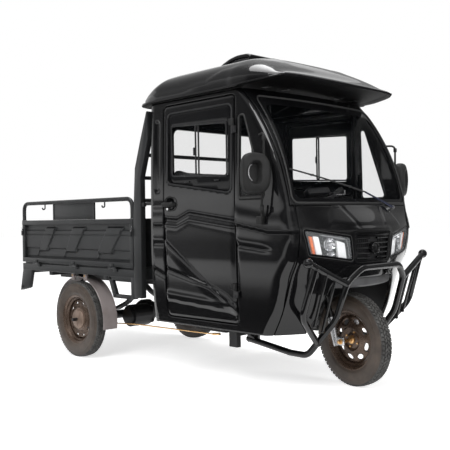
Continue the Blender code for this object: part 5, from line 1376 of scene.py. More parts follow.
def build_headlamps():
    """Left lamp unit and its mirror: tray, reflector, light bars, indicator and lens."""
    outline = rounded(LAMP, 0.018)
    shape = bmesh.new()
    inner = inward([Vector(p) for p in outline], 0.0022)
    rim = inward(inner, 0.010)
    skin(shape, inner, [rim], lamp_chart(0.0010), 0.010, 0.012, 0.002)
    skin(shape, inner, [], lamp_chart(0.040), 0.002, 0.014, 0.0)
    walls = [[lamp_chart(depth)(*p) for p in dense(rim, 0.012)] for depth in (0.003, 0.040)]
    sweep(shape, walls, caps=False)
    parts = bmesh.new()
    bowl = Vector(lamp_chart(0.030)(0.322, 0.792))
    ahead = Vector((0.30, -0.95, 0.05)).normalized()
    turn = ahead.to_track_quat("X", "Z").to_matrix().to_4x4()
    place = Matrix.Translation(bowl) @ turn
    spin(parts, ((0.002, -0.002), (0.012, 0.000), (0.024, 0.006), (0.031, 0.014),
                 (0.034, 0.018), (0.037, 0.017)), place, 40, 1)
    spin(parts, ((0.0, 0.016), (0.006, 0.0155), (0.011, 0.012), (0.0125, 0.006), (0.0125, 0.0)),
         place, 28, 4)
    for number in range(18):
        a = math.tau * number / 18
        pipe(parts, [place @ round_spot(0, 0.013, a), place @ round_spot(0.0125, 0.031, a)],
             0.0011, 5, index=1)
    second = Matrix.Translation(Vector(lamp_chart(0.026)(0.312, 0.742))) @ turn
    spin(parts, ((0.0, 0.004), (0.008, 0.0052), (0.014, 0.010), (0.017, 0.015), (0.019, 0.014)),
         second @ Matrix.Diagonal((1, 1.35, 0.62, 1)), 32, 1)
    panes = (
        (((0.392, 0.836), (0.424, 0.842), (0.398, 0.742), (0.362, 0.734)),
         0.006, 0.012, 0.012, 0.003, 3),
        (((0.226, 0.800), (0.282, 0.816), (0.262, 0.716), (0.206, 0.708)),
         0.006, 0.012, 0.012, 0.003, 3),
        (((0.430, 0.838), (0.446, 0.842), (0.420, 0.746), (0.402, 0.742)),
         0.004, 0.013, 0.010, 0.002, 2),
        (((0.220, 0.812), (0.372, 0.838), (0.392, 0.850), (0.230, 0.826)),
         0.004, 0.010, 0.010, 0.002, 1),
        (((0.238, 0.702), (0.362, 0.720), (0.372, 0.730), (0.268, 0.718)),
         0.003, 0.010, 0.010, 0.002, 1),
    )
    for pane, corner, depth, thick, edge, index in panes:
        skin(parts, rounded(pane, corner, 4), [], lamp_chart(depth), thick, 0.010, edge, None,
             index)
    pipe(parts, [lamp_chart(0.008)(*spot) for spot in ((0.196, 0.720), (0.212, 0.800),
                                                       (0.224, 0.822))], 0.0024, 8, index=1)
    paste(parts, shape)
    skin(shape, rim, [], lamp_chart(0.0016), 0.002, 0.012, 0.0, None, 5)
    add_pair("headlamp_unit", shape, "vehicle",
             [FRIT, CHROME, AMBER, LAMP_WHITE, LAMP_LENS, LAMP_LENS], "headlamp")
    seal = bmesh.new()
    seal_round(seal, outline, front_chart, 0.0022, 0, 0.0006)
    add_pair("headlamp_seal", seal, "vehicle", [RUBBER])


def build_grille():
    """Grille: dark backing, bowed bars, ribs and a plain ring."""
    shape = bmesh.new()
    outline = rounded(GRILLE, 0.012, 5)
    inner = inward([Vector(p) for p in outline], 0.0015)
    skin(shape, inner, [inward(inner, 0.006)], lamp_chart(0.0045), 0.012, 0.012, 0.002)
    skin(shape, inner, [], lamp_chart(0.017), 0.001, 0.014, 0.0, None, 1)
    for row in range(5):
        z = 0.713 + 0.0262 * row
        reach = 0.163 - 0.004 * row if row < 4 else 0.158
        for side in (-1, 1):
            spots = [side * (0.034 + (reach - 0.034) * n / 10) for n in range(11)]
            rings = []
            for x in spots:
                point = lamp_chart(0.005)(x, z + 0.004)
                rings.append([point + Vector((0, dy, dz)) for dy, dz in
                              ((0.000, -0.0020), (-0.0006, 0.0), (0.000, 0.0020), (0.003, 0.0048),
                               (0.011, 0.0050), (0.011, -0.0050), (0.003, -0.0048))])
            sweep(shape, rings)
    for number in range(7):
        for side in (-1, 1):
            x = side * (0.050 + 0.0165 * number)
            pipe(shape, [lamp_chart(0.0135)(x, z) for z in (0.704, 0.828)], 0.0016, 6)
    orient(shape)
    centre = Matrix.Translation((0, -0.100, 0.768)) @ turned(-90, "Z")
    spin(shape, ((0.0, 0.0185), (0.020, 0.0180), (0.0245, 0.0165), (0.0255, 0.0195),
                 (0.0270, 0.0222), (0.0295, 0.0235), (0.0320, 0.0228), (0.0338, 0.0200),
                 (0.0340, 0.0120), (0.0340, -0.004)), centre, 56, 2)
    add_piece("grille_bars", shape, "vehicle", [FRIT, SATIN_BLACK, BODY_BLACK],
              ["grille"])


def build_bull_bar():
    """Smooth bent tubes with ball ends, slats, weld beads and mounting plates."""
    shape = bmesh.new()
    radius = 0.0172
    hoop = ((0.300, 0.250, 0.200), (0.300, 0.120, 0.198), (0.274, -0.052, 0.400),
            (0.262, -0.120, 0.600), (0.174, -0.150, 0.671), (-0.174, -0.150, 0.671),
            (-0.262, -0.120, 0.600), (-0.274, -0.052, 0.400), (-0.300, 0.120, 0.198),
            (-0.300, 0.250, 0.200))
    pipe(shape, hoop, radius, 24, bend=0.035, steps=8)
    for side in (-1, 1):
        pipe(shape, [(side * 0.300, 0.240, 0.200), (side * 0.300, 0.560, 0.245)], radius, 24)
        low, high = span(side, 0.2605, 0.312)
        block(shape, (low, 0.500, 0.226), (high, 0.556, 0.328), 0.003)
        pipe(shape, [(side * 0.262, -0.116, 0.590), (side * 0.533, -0.085, 0.711)], radius, 24)
        globe(shape, (side * 0.533, -0.085, 0.711), 0.0258, 0, 18)
        pipe(shape, [(side * 0.482, -0.091, 0.684), (side * 0.495, -0.010, 0.430),
                     (side * 0.292, 0.060, 0.270)], radius, 24, bend=0.05, steps=8)
        for share in (0.35, 0.68):
            top = Vector((side * (0.27 + 0.21 * share), -0.105, 0.585 + 0.095 * share))
            low = Vector((side * (0.275 + 0.20 * share), -0.020, 0.310 + 0.100 * share))
            pipe(shape, [top, low], 0.0078, 14)
            for spot in (top, low):
                globe(shape, spot, 0.0105, 0, 8, (1, 1, 0.7))
        for spot in ((0.264, -0.116, 0.592), (0.482, -0.091, 0.686), (0.292, 0.058, 0.268)):
            globe(shape, (side * spot[0], spot[1], spot[2]), 0.0195, 0, 12)
        bolt = Vector((side * 0.312, 0.528, 0.280))
        disc(shape, bolt, bolt + Vector((side * 0.004, 0, 0)), 0.008, 6, 0.001, 1)
    add_piece("bull_bar_tubes", shape, "vehicle", [BODY_BLACK, SILVER],
              ["bull_bar"])


def build_arch_lip():
    """Grey inner lip of the front wheel's arch, with the housing behind it."""
    shape = bmesh.new()
    rings = []
    for n in range(25):
        x = -0.262 + 0.524 * n / 24
        bow = 0.016 * (1 - (x / 0.262) ** 2)
        y = front_y(x, 0.600) + 0.022
        rings.append([Vector((x, y - 0.004, 0.606)), Vector((x, y - 0.006, 0.600)),
                      Vector((x, y - 0.002, 0.572 - bow * 0.3)),
                      Vector((x, y + 0.010, 0.562 - bow * 0.3)),
                      Vector((x, y + 0.060, 0.566)), Vector((x, y + 0.060, 0.572)),
                      Vector((x, y + 0.014, 0.570 - bow * 0.3)),
                      Vector((x, y + 0.004, 0.606))])
    sweep(shape, rings)
    orient(shape)
    add_piece("arch_lip", shape, "vehicle", [LIP_GREY])


build_headlamps()
build_grille()
build_bull_bar()
build_arch_lip()


# Cargo bed: frame, pressed panels with rails, headboard, mudguards and tail lamps

BED_FRONT = 1.288
BED_REAR = 2.690
BED_HALF = 0.555
BED_FLOOR_TOP = 0.632
PANEL_LOW = BED_FLOOR_TOP + 0.004
PANEL_TOP = 0.947
PANEL_DEEP = 0.028
FRAME_LOW = 0.575
RIM_WIDE = 0.034
DROP_LOW_Y = BED_FRONT + 0.018
DROP_HIGH_Y = BED_REAR - 0.004
DROP_HINGE_X = BED_HALF + 0.010
HINGE_Z = BED_FLOOR_TOP - 0.001
GATE_HINGE_Y = BED_REAR + 0.010
DROP_HINGES = (1.513, 1.971, 2.467)
GATE_HINGES = (-0.340, 0.0, 0.340)
PADS = (
    ((2.356, 0.893), (2.217, 0.893), (2.254, 0.846), (2.314, 0.724), (2.458, 0.724)),
    ((2.003, 0.893), (1.843, 0.893), (1.880, 0.846), (1.950, 0.722), (2.099, 0.722)),
    ((1.591, 0.893), (1.415, 0.893), (1.452, 0.846), (1.533, 0.720), (1.714, 0.720)),
)


def plate(shape, outline, low, high, bevel):
    """An outline over y and z pushed along X, with its edges rounded."""
    part = bmesh.new()
    rows = [[part.verts.new((level, *spot)) for spot in outline] for level in (low, high)]
    part.faces.new(rows[0][::-1])
    part.faces.new(rows[1])
    for n in range(len(outline)):
        after = (n + 1) % len(outline)
        part.faces.new((rows[0][n], rows[0][after], rows[1][after], rows[1][n]))
    orient(part)
    bmesh.ops.bevel(part, geom=part.edges[:], offset=bevel, segments=2, profile=0.5,
                    affect="EDGES")
    paste(part, shape)


def pad_gap(u, v, corners):
    """Distance outside a pad's outline, below zero inside, for pads with a straight run."""
    middle = sum((Vector(c) for c in corners), Vector((0, 0))) / len(corners)
    gap = -1.0
    for start, end in zip(corners, corners[1:] + corners[:1]):
        way = (Vector(end) - Vector(start)).normalized()
        out = Vector((way.y, -way.x))
        if out.dot(middle - Vector(start)) > 0:
            out = -out
        gap = max(gap, out.dot(Vector((u, v)) - Vector(start)))
    return gap


def side_relief(u, v):
    """Depth of a drop side's field below its frame: shelves, middle band and three pads."""
    depth = 0.023
    band = max(0.742 - v, v - 0.872)
    depth -= 0.009 * (1 - smoothstep(band, -0.003, 0.003))
    for corners in PADS:
        gap = pad_gap(u, v, corners)
        depth = min(depth, 0.023 - 0.017 * (1 - smoothstep(gap, -0.004, 0.003)))
    line = abs(v - 0.838)
    depth += 0.0025 * ridge(line, 0.0035)
    shelf = abs(v - 0.690)
    depth -= 0.004 * ridge(shelf, 0.010)
    for corners in PADS:
        foot = Vector(corners[3])
        gap = abs((u - foot.x - 0.165) + (v - 0.705) * 0.5)
        depth -= 0.009 * ridge(gap, 0.008) * smoothstep(v, 0.682, 0.694) * (
            1 - smoothstep(v, 0.728, 0.742))
    return depth


def gate_relief(u, v):
    """Depth of the tailgate's field: a middle band and two pads."""
    depth = 0.023
    band = max(0.742 - v, v - 0.872)
    depth -= 0.009 * (1 - smoothstep(band, -0.003, 0.003))
    for middle in (-0.24, 0.0, 0.24):
        gap = max(abs(u - middle - (v - 0.80) * 0.4) - 0.065, abs(v - 0.807) - 0.086)
        depth = min(depth, 0.023 - 0.017 * (1 - smoothstep(gap, -0.004, 0.003)))
    return depth


def pressed_panel(shape, low_u, high_u, place, relief, columns):
    """Box frame round a pressed field; the outer side faces +X of the placing matrix."""
    edge = 0.0035
    rows = 46
    for low, high in (((low_u, PANEL_TOP - RIM_WIDE), (high_u, PANEL_TOP)),
                      ((low_u, PANEL_LOW), (high_u, PANEL_LOW + RIM_WIDE))):
        block(shape, (-PANEL_DEEP, low[0], low[1]), (0, high[0], high[1]), edge, 0, 3, place)
    for low, high in ((low_u, low_u + RIM_WIDE), (high_u - RIM_WIDE, high_u)):
        block(shape, (-PANEL_DEEP + 0.0006, low + 0.0006, PANEL_LOW + RIM_WIDE - 0.002),
              (-0.0006, high - 0.0006, PANEL_TOP - RIM_WIDE + 0.002), edge, 0, 3, place)
    block(shape, (-0.004, low_u + 0.002, PANEL_LOW + RIM_WIDE * 0.42),
          (0.0004, high_u - 0.002, PANEL_LOW + RIM_WIDE * 0.52), 0.0008, 0, 2, place)
    low_v, high_v = PANEL_LOW + RIM_WIDE - 0.001, PANEL_TOP - RIM_WIDE + 0.001
    start, end = low_u + RIM_WIDE - 0.001, high_u - RIM_WIDE + 0.001
    for back in (0.0, 0.0016):
        grid = []
        for row in range(rows + 1):
            v = low_v + (high_v - low_v) * row / rows
            line = []
            for column in range(columns + 1):
                u = start + (end - start) * column / columns
                line.append(place @ Vector((-(relief(u, v) + back), u, v)))
            grid.append(line)
        sweep(shape, grid, around=False)


def knuckles(shape, axis, spot):
    """A hinge barrel with a pin's head at its end."""
    reach = Vector(axis) * 0.020
    middle = Vector(spot)
    disc(shape, middle - reach, middle + reach, 0.0078, 20, 0.001)
    disc(shape, middle + reach, middle + reach * 1.15, 0.0078 * 0.62, 12, 0.001)


def latch(shape, spot, side):
    """A toggle catch: base, lever and wire bail."""
    base = Vector(spot)
    block(shape, base - Vector((0.003, 0.010, 0.020)), base + Vector((0.003, 0.010, 0.020)),
          0.0015)
    block(shape, base + Vector((-0.002, -0.007, -0.030)), base + Vector((0.007, 0.007, 0.004)))
    pipe(shape, [base + Vector((0.004, -0.006, 0.0)), base + Vector((0.004, side * 0.012, 0.026)),
                 base + Vector((0.004, side * 0.012, 0.034))], 0.0016, 8, index=1)


def build_drop_sides():
    """The two drop sides with their latches and hinges, and their rails with plates and hooks."""
    shape = bmesh.new()
    place = Matrix.Translation((BED_HALF, 0, 0))
    pressed_panel(shape, DROP_LOW_Y, DROP_HIGH_Y, place, side_relief, 240)
    for y in DROP_HINGES:
        knuckles(shape, (0, 1, 0), (DROP_HINGE_X, y + 0.0203, HINGE_Z))
        block(shape, (BED_HALF - 0.001, y + 0.002, HINGE_Z + 0.002),
              (BED_HALF + 0.004, y + 0.039, HINGE_Z + 0.026), 0.001)
    for y, way in ((DROP_LOW_Y + 0.012, -1), (DROP_HIGH_Y - 0.012, 1)):
        latch(shape, (BED_HALF + 0.004, y, 0.865), way)
    orient(shape)
    add_pair("drop_side", shape, "{}_drop_side", [BED_GREY, SILVER], "side_panel",
             30)
    rail = bmesh.new()
    x = BED_HALF - PANEL_DEEP / 2
    top = 1.087 - 0.0140
    front, rear = DROP_LOW_Y + 0.0142, DROP_HIGH_Y - 0.0142
    pipe(rail, [(x, front, PANEL_TOP + 0.0005), (x, front, top), (x, rear, top),
                (x, rear, PANEL_TOP + 0.0005)], 0.0138, 24, bend=0.070, steps=10)
    for y in (front, rear):
        disc(rail, (x, y, PANEL_TOP + 0.0004), (x, y, PANEL_TOP + 0.0040), 0.0170, 20, 0.001)
    block(rail, (x - 0.0035, 1.737, PANEL_TOP + 0.0005), (x + 0.0035, 2.253, top), 0.0012)
    block(rail, (x - 0.0060, 1.735, PANEL_TOP + 0.0005), (x + 0.0060, 1.748, top), 0.002, 1)
    block(rail, (x - 0.0060, 2.242, PANEL_TOP + 0.0005), (x + 0.0060, 2.255, top))
    for z in (0.962, 1.050):
        pipe(rail, [(x + 0.0036, 1.765, z), (x + 0.0036, 2.225, z)], 0.0012, 6)
    for y in (1.62, 2.37):
        pipe(rail, [(x, y, top - 0.010), (x, y, top - 0.045), (x + 0.018, y, top - 0.049),
                    (x + 0.022, y, top - 0.036)], 0.0048, 12, bend=0.010)
    add_pair("rail", rail, "{}_drop_side", [BED_GREY, SATIN_BLACK], "side_rail")


def build_tailgate():
    """The rear panel with its hinges."""
    shape = bmesh.new()
    half = BED_HALF - 0.040
    place = Matrix.Translation((0, BED_REAR, 0)) @ turned(90, "Z")
    pressed_panel(shape, -half, half, place, gate_relief, 160)
    for x in GATE_HINGES:
        knuckles(shape, (1, 0, 0), (x + 0.0203, GATE_HINGE_Y, HINGE_Z))
        block(shape, (x + 0.002, BED_REAR - 0.001, HINGE_Z + 0.002),
              (x + 0.039, BED_REAR + 0.004, HINGE_Z + 0.026), 0.001)
    orient(shape)
    add_piece("gate_panel", shape, "rear_gate", [BED_GREY], ["tailgate"], 30)


def build_bed_frame():
    """Side beams, cross beams, legs, front brackets and hinge knuckles."""
    shape = bmesh.new()
    under = BED_FLOOR_TOP - 0.0063
    block(shape, (0.040 - BED_HALF, BED_REAR - 0.022, under - 0.002),
          (BED_HALF - 0.040, BED_REAR - 0.008, PANEL_LOW - 0.0015), 0.001)
    for side in (-1, 1):
        low, high = span(side, BED_HALF - 0.045, BED_HALF - 0.004)
        block(shape, (low, BED_FRONT + 0.010, FRAME_LOW), (high, BED_REAR, under), 0.0035, 0, 3)
        block(shape, (low + 0.021, BED_FRONT + 0.020, under - 0.002),
              (high - 0.004, BED_REAR - 0.006, PANEL_LOW - 0.0015), 0.001)
        low, high = span(side, BED_HALF - 0.034, BED_HALF - 0.006)
        plate(shape, ((2.560, FRAME_LOW + 0.01), (BED_REAR, FRAME_LOW + 0.01),
                      (BED_REAR + 0.046, 0.416), (2.622, 0.436), (2.600, 0.446)), low, high, 0.003)
        disc(shape, (side * (BED_HALF - 0.0075), 2.706, 0.444),
             (side * (BED_HALF - 0.0005), 2.706, 0.444), 0.011, 20, 0.002, 1)
        plate(shape, ((BED_FRONT + 0.012, FRAME_LOW + 0.01), (BED_FRONT + 0.052, FRAME_LOW + 0.01),
                      (BED_FRONT + 0.052, 0.440), (BED_FRONT + 0.012, 0.440)), low, high, 0.003)
        for run in (((1.338, 0.437), (1.338, 0.461), (1.512, 0.461), (1.530, 0.437)),
                    ((1.338, 0.551), (1.338, 0.580), (1.590, 0.580), (1.568, 0.551)),
                    ((1.496, 0.450), (1.530, 0.437), (1.590, 0.580), (1.552, 0.572))):
            plate(shape, run, low + 0.0004, high - 0.0004, 0.003)
    for y in (BED_FRONT + 0.032, 1.62, 2.30, BED_REAR - 0.022):
        block(shape, (-BED_HALF + 0.010, y - 0.022, 0.5495), (BED_HALF - 0.010, y + 0.022, under),
              0.003)
    for y in DROP_HINGES:
        for side in (-1, 1):
            knuckles(shape, (0, -1, 0), (side * DROP_HINGE_X, y - 0.0203, HINGE_Z))
            low, high = span(side, BED_HALF - 0.006, BED_HALF + 0.006)
            block(shape, (low, y - 0.040, HINGE_Z - 0.024), (high, y - 0.001, HINGE_Z - 0.003),
                  0.001)
    for x in GATE_HINGES:
        knuckles(shape, (-1, 0, 0), (x - 0.0203, GATE_HINGE_Y, HINGE_Z))
        block(shape, (x - 0.040, BED_REAR - 0.004, HINGE_Z - 0.024),
              (x - 0.001, BED_REAR + 0.006, HINGE_Z - 0.003), 0.001)
    add_piece("bed_beams", shape, "vehicle", [BED_GREY, SATIN_BLACK],
              ["bed_frame"], 32)
    floor = bmesh.new()
    low_x = BED_HALF - PANEL_DEEP - 0.007
    rows = []
    for n in range(89):
        x = -low_x + 2 * low_x * n / 88
        wave = 0.0022 * (1 - smoothstep(math.sin(n * math.tau / 8), -0.4, 0.4))
        rows.append([Vector((x, y, z - wave)) for y, z in
                     ((BED_FRONT + 0.035, BED_FLOOR_TOP - 0.0036),
                      (BED_FRONT + 0.035, BED_FLOOR_TOP - 0.0004),
                      (BED_REAR - PANEL_DEEP - 0.007, BED_FLOOR_TOP - 0.0004),
                      (BED_REAR - PANEL_DEEP - 0.007, BED_FLOOR_TOP - 0.0036))])
    sweep(floor, rows)
    orient(floor)
    add_piece("bed_sheet", floor, "vehicle", [BED_GREY], ["bed_floor"], 30)


def build_headboard():
    """Posts that lean on the roof, cross bars, the bed's front wall and its foot."""
    shape = bmesh.new()
    rear = BED_FRONT + 0.0097
    wall = 1.1403
    post = ((1.224, 0.452), (1.218, 1.200), (wall, 1.430), (wall, 1.600), (wall + 0.010, 1.600),
            (1.213, 1.434), (1.274, 1.259), (rear - 0.010, 1.079), (rear, 0.948), (rear, 0.452))
    post_x = BED_HALF - 0.020
    for side in (-1, 1):
        plate(shape, post, side * post_x - 0.0197, side * post_x + 0.0197, 0.0030)
        block(shape, (side * post_x - 0.012, 1.200, 1.020), (side * post_x + 0.012, 1.222, 1.045))
    for z, y in ((1.060, 1.250), (1.200, 1.245), (1.340, 1.215)):
        pipe(shape, [(-post_x, y, z), (post_x, y, z)], 0.0118)
    block(shape, (-post_x, rear - 0.010, BED_FLOOR_TOP + 0.001),
          (post_x, rear - 0.002, PANEL_TOP))
    for z in (0.72, 0.80, 0.88):
        block(shape, (-post_x + 0.05, rear - 0.003, z - 0.008),
              (post_x - 0.05, rear - 0.0004, z + 0.008), 0.0012)
    block(shape, (-post_x, rear - 0.040, FRAME_LOW - 0.015), (post_x, rear, BED_FLOOR_TOP + 0.008),
          0.003)
    add_piece("headboard_posts", shape, "vehicle", [BED_GREY], ["headboard"], 32)


def build_mudguards():
    """Arched guards with rolled edges, stays and bolts."""
    for name, side in (("mudguard_shell_left", 1), ("mudguard_shell_right", -1)):
        shape = bmesh.new()
        inner_x = REAR_WHEEL_X - 0.0995
        outer_x = REAR_WHEEL_X + 0.0135
        rings = []
        for step in range(61):
            angle = math.radians(-15 + 205 * step / 60)
            ring = []
            for x, reach in ((inner_x, 0.2905), (inner_x, 0.2935), (inner_x + 0.006, 0.2938),
                             (inner_x + 0.012, 0.2925), (outer_x - 0.016, 0.2925),
                             (outer_x - 0.008, 0.2938), (outer_x - 0.002, 0.2938),
                             (outer_x, 0.2925), (outer_x, 0.2905), (outer_x - 0.006, 0.2903),
                             (inner_x + 0.006, 0.2903)):
                ring.append(Vector((side * x, REAR_AXLE + reach * math.cos(angle),
                                    TYRE_R + reach * math.sin(angle))))
            rings.append(ring)
        sweep(shape, rings)
        orient(shape)
        low, high = span(side, BED_HALF - 0.043, BED_HALF - 0.024)
        for y in (REAR_AXLE - 0.090, REAR_AXLE + 0.060):
            block(shape, (low, y, TYRE_R + 0.268), (high, y + 0.030, FRAME_LOW - 0.0005))
            disc(shape, (side * (BED_HALF - 0.0245), y + 0.015, 0.560),
                 (side * (BED_HALF - 0.0195), y + 0.015, 0.560), 0.006, 6, 0.001, 1)
        add_piece(name, shape, "vehicle", [GUARD, BRASS],
                  ["mudguard_left" if side > 0 else "mudguard_right"], 32)


def build_tail_lamps():
    """Ribbed red lenses in a dark frame."""
    for name, side in (("tail_lens_left", 1), ("tail_lens_right", -1)):
        shape = bmesh.new()
        low, high = span(side, BED_HALF - 0.155, BED_HALF - 0.040)
        block(shape, (low, BED_REAR + 0.0005, FRAME_LOW - 0.023),
              (high, BED_REAR + 0.006, FRAME_LOW + 0.019), 0.002, 1)
        block(shape, (low + 0.003, BED_REAR + 0.004, FRAME_LOW - 0.020),
              (high - 0.003, BED_REAR + 0.0090, FRAME_LOW + 0.016))
        for n in range(14):
            x = low + 0.010 + (high - low - 0.020) * n / 13
            pipe(shape, [(x, BED_REAR + 0.0088, FRAME_LOW - 0.016),
                         (x, BED_REAR + 0.0088, FRAME_LOW + 0.012)], 0.0011, 6)
        add_piece(name, shape, "vehicle", [RED_LENS, TRIM_BLACK],
                  ["tail_lamp_left" if side > 0 else "tail_lamp_right"])


build_drop_sides()
build_tailgate()
build_bed_frame()
build_headboard()
build_mudguards()
build_tail_lamps()


# Mirrors, wiper and washer jet

def build_mirrors():
    """Bent tubes with a clamp, rounded housings, a hollow shell mark and the glass."""
    shape = bmesh.new()
    pipe(shape, [(0.561, 0.180, 0.930), (0.600, 0.165, 0.960), (0.600, 0.140, 1.160),
                 (0.600, 0.137, 1.372), (0.540, 0.230, 1.372)], 0.0060, 16, bend=0.03)
    for spot in ((0.600, 0.137, 1.345), (0.600, 0.158, 0.985)):
        disc(shape, Vector(spot) - Vector((0, 0, 0.012)), Vector(spot) + Vector((0, 0, 0.012)),
             0.0105, 16)
    x = side_x(0.190, 0.930)
    block(shape, (x + 0.0010, 0.168, 0.905), (x + 0.034, 0.205, 0.948), 0.005, 0, 3)
    pipe(shape, [(x + 0.018, 0.172, 0.940), (x + 0.018, 0.168, 1.005)], 0.0055, 12)
    place = Matrix.Translation((0.663, 0.135, 1.163)) @ turned(20, "Z")
    half = (0.0790, 0.0290, 0.1040)
    rings = []
    for reach, y in ((0.02, 0.004), (0.74, 0.003), (0.84, -0.008), (0.93, -0.024),
                     (1.00, -0.0290), (1.08, -0.0294)):
        ring = []
        for k in range(56):
            a = math.tau * k / 56
            c, s = math.cos(a), math.sin(a)
            ring.append(place @ Vector((
                0.020 + 0.040 * reach * eased(c, 0.75) - 0.010 * abs(s),
                y, 0.004 + 0.060 * reach * eased(s, 0.9))))
        rings.append(ring)
    for n in range(1, 25):
        share = n / 24
        y = -half[1] + 2 * half[1] * share
        swell = (1 - abs(1 - 2 * share) ** 2.6) ** (1 / 2.6) if share < 0.5 else 1.0
        fade = 1.0 if share <= 0.5 else 1 - 0.05 * smoothstep(share, 0.75, 1.0)
        reach = (0.40 + 0.60 * swell) * fade
        ring = []
        for k in range(56):
            a = math.tau * k / 56
            c, s = math.cos(a), math.sin(a)
            px = half[0] * reach * eased(c, 2 / 3)
            pz = half[2] * reach * eased(s, 2 / 3)
            px += 0.010 * (abs(pz) / half[2]) ** 2 * (1 if share < 0.5 else 0.6)
            ring.append(place @ Vector((max(min(px, half[0]), -half[0]), y, pz)))
        rings.append(ring)
    sweep(shape, rings)
    glass_face = []
    for y, reach in ((0.0291, 0.88), (0.0280, 0.86), (0.0280, 0.02)):
        glass_face.append([place @ Vector((half[0] * reach * eased(math.cos(a), 0.62), y,
                                           half[2] * reach * eased(math.sin(a), 0.62)))
                           for a in (math.tau * k / 56 for k in range(56))])
    sweep(shape, glass_face, 1, caps=False)
    crescent = [place @ Vector((0.020 + 0.030 * math.cos(a) - 0.008, 0.0015,
                                0.004 + 0.044 * math.sin(a)))
                for a in (math.radians(-70 + 14 * n) for n in range(11))]
    pipe(shape, crescent, 0.0042, 10, index=2)
    orient(shape)
    add_pair("mirror_housing", shape, "vehicle", [TRIM_BLACK, CHROME, SILVER],
             "mirror", 32)


def build_wiper():
    """Spindle cover, blue-black arm, hinge and a rubber blade that hugs the glass."""
    shape = bmesh.new()

    def over(x, z, lift):
        return Vector((x, front_y(x, z) - lift, z))

    spindle = over(0.292, 0.978, 0.0)
    boss = Vector((0, -0.030, 0.013))
    pipe(shape, [spindle + boss * 0.02, spindle + boss * 0.45], 0.0150, index=1,
         end_radius=0.0125)
    pipe(shape, [spindle + boss * 0.42, spindle + boss * 0.98], 0.0118, index=1,
         end_radius=0.0095)
    points = []
    for n in range(9):
        share = n / 8
        points.append(over(0.060 - 0.560 * share, 1.073 + 0.113 * share, 0.0120))
    heel = points[0] + (points[0] - points[1]).normalized() * 0.010
    pipe(shape, [spindle + boss * 0.80, heel.lerp(spindle + boss * 0.80, 0.5)
                 + Vector((0, -0.001, 0)), points[0]], 0.0068, 14, bend=0.05,
         end_radius=0.0048)
    rows = []
    for point in [heel] + points:
        rows.append([point + Vector((0, dy, dz)) for dy, dz in
                     ((-0.0052, 0.0), (-0.0020, 0.0045), (0.0020, 0.0030), (0.0056, 0.0006),
                      (0.0056, -0.0006), (0.0020, -0.0030), (-0.0020, -0.0045))])
    sweep(shape, rows, 2)
    for share in (2, 4, 6):
        block(shape, points[share] - Vector((0.012, 0.0060, 0.0055)),
              points[share] + Vector((0.012, 0.0010, 0.0055)), 0.0015, 2)
    orient(shape)
    add_piece("wiper_arm", shape, "vehicle", [BLUE_STEEL, SILVER, RUBBER],
              ["wiper"])
    knob = bmesh.new()
    spot = over(0.205, 0.966, 0.0)
    out = Vector((0, -0.8, 0.6)).normalized()
    pipe(knob, [spot, spot + out * 0.006], 0.0075, 16, end_radius=0.0055)
    add_piece("washer_jet", knob, "vehicle", [BRASS])


build_mirrors()
build_wiper()


# Under the body: brake rods and the clips of the leaf springs

def build_underside():
    """Rods and clips that show between the cab and the rear wheels."""
    shape = bmesh.new()
    for side in (-1, 1):
        x = side * 0.400
        pipe(shape, [(x, 0.760, 0.262), (x, 1.500, 0.252), (x, 1.820, 0.232)], 0.0042, 10,
             bend=0.08)
        pipe(shape, [(x, 0.750, 0.262), (x, 0.690, 0.268)], 0.0075, 12)
        spring = side * 0.295
        clips = (REAR_AXLE - 0.050, REAR_AXLE + 0.050)
        for y in clips:
            pipe(shape, [(spring - 0.032, y, 0.240), (spring - 0.032, y, 0.336),
                         (spring + 0.032, y, 0.336), (spring + 0.032, y, 0.240)], 0.0050, 10,
                 bend=0.014)
        for y in clips:
            for x in (spring - 0.032, spring + 0.032):
                disc(shape, (x, y, 0.246), (x, y, 0.254), 0.0095, 6, 0.001)
    add_piece("brake_rods", shape, "vehicle", [BRASS])


build_underside()


# Seats: upholstery whose skin is a cloth simulation over rounded pads that take the place of the
# CAD's soft solids

VOXEL = 0.0065
PUFF = 0.024
LAST_FRAME = 20
CLOTH = (("use_pressure", True), ("uniform_pressure_force", 4.0), ("quality", 5), ("mass", 0.3),
         ("tension_stiffness", 12.0), ("compression_stiffness", 12.0), ("shear_stiffness", 6.0),
         ("bending_stiffness", 0.6))


def seen_mesh(item):
    """A new mesh of an object with its modifiers."""
    return bpy.data.meshes.new_from_object(item.evaluated_get(
        bpy.context.evaluated_depsgraph_get()))


def padded_mesh(name, corner_low, corner_high, corner):
    """A rounded pad, blown out like upholstery by a short cloth simulation."""
    shape = bmesh.new()
    block(shape, corner_low, corner_high, corner, 0, 4)
    mesh = mesh_of(name, shape)
    mesh.transform(TO_ROW)
    item = new_object(name, mesh)
    remesh = item.modifiers.new("grid", "REMESH")
    remesh.mode = "VOXEL"
    remesh.voxel_size = VOXEL
    view = bpy.context.view_layer
    view.update()
    grid = seen_mesh(item)
    item.modifiers.clear()
    item.data = grid
    rest = [vertex.co.copy() for vertex in grid.vertices]
    cloth = item.modifiers.new("skin", "CLOTH")
    cloth.settings.effector_weights.gravity = 0.0
    for key, value in CLOTH:
        setattr(cloth.settings, key, value)
    cloth.point_cache.frame_start = 1
    cloth.point_cache.frame_end = LAST_FRAME
    scene = bpy.context.scene
    for number in range(1, LAST_FRAME + 1):
        scene.frame_set(number)
    view.update()
    blown = seen_mesh(item)
    for vertex, start in zip(blown.vertices, rest):
        move = vertex.co - start
        if move.length > PUFF:
            vertex.co = start + move.normalized() * PUFF
    item.modifiers.clear()
    item.data = blown
    scene.frame_set(1)
    return item


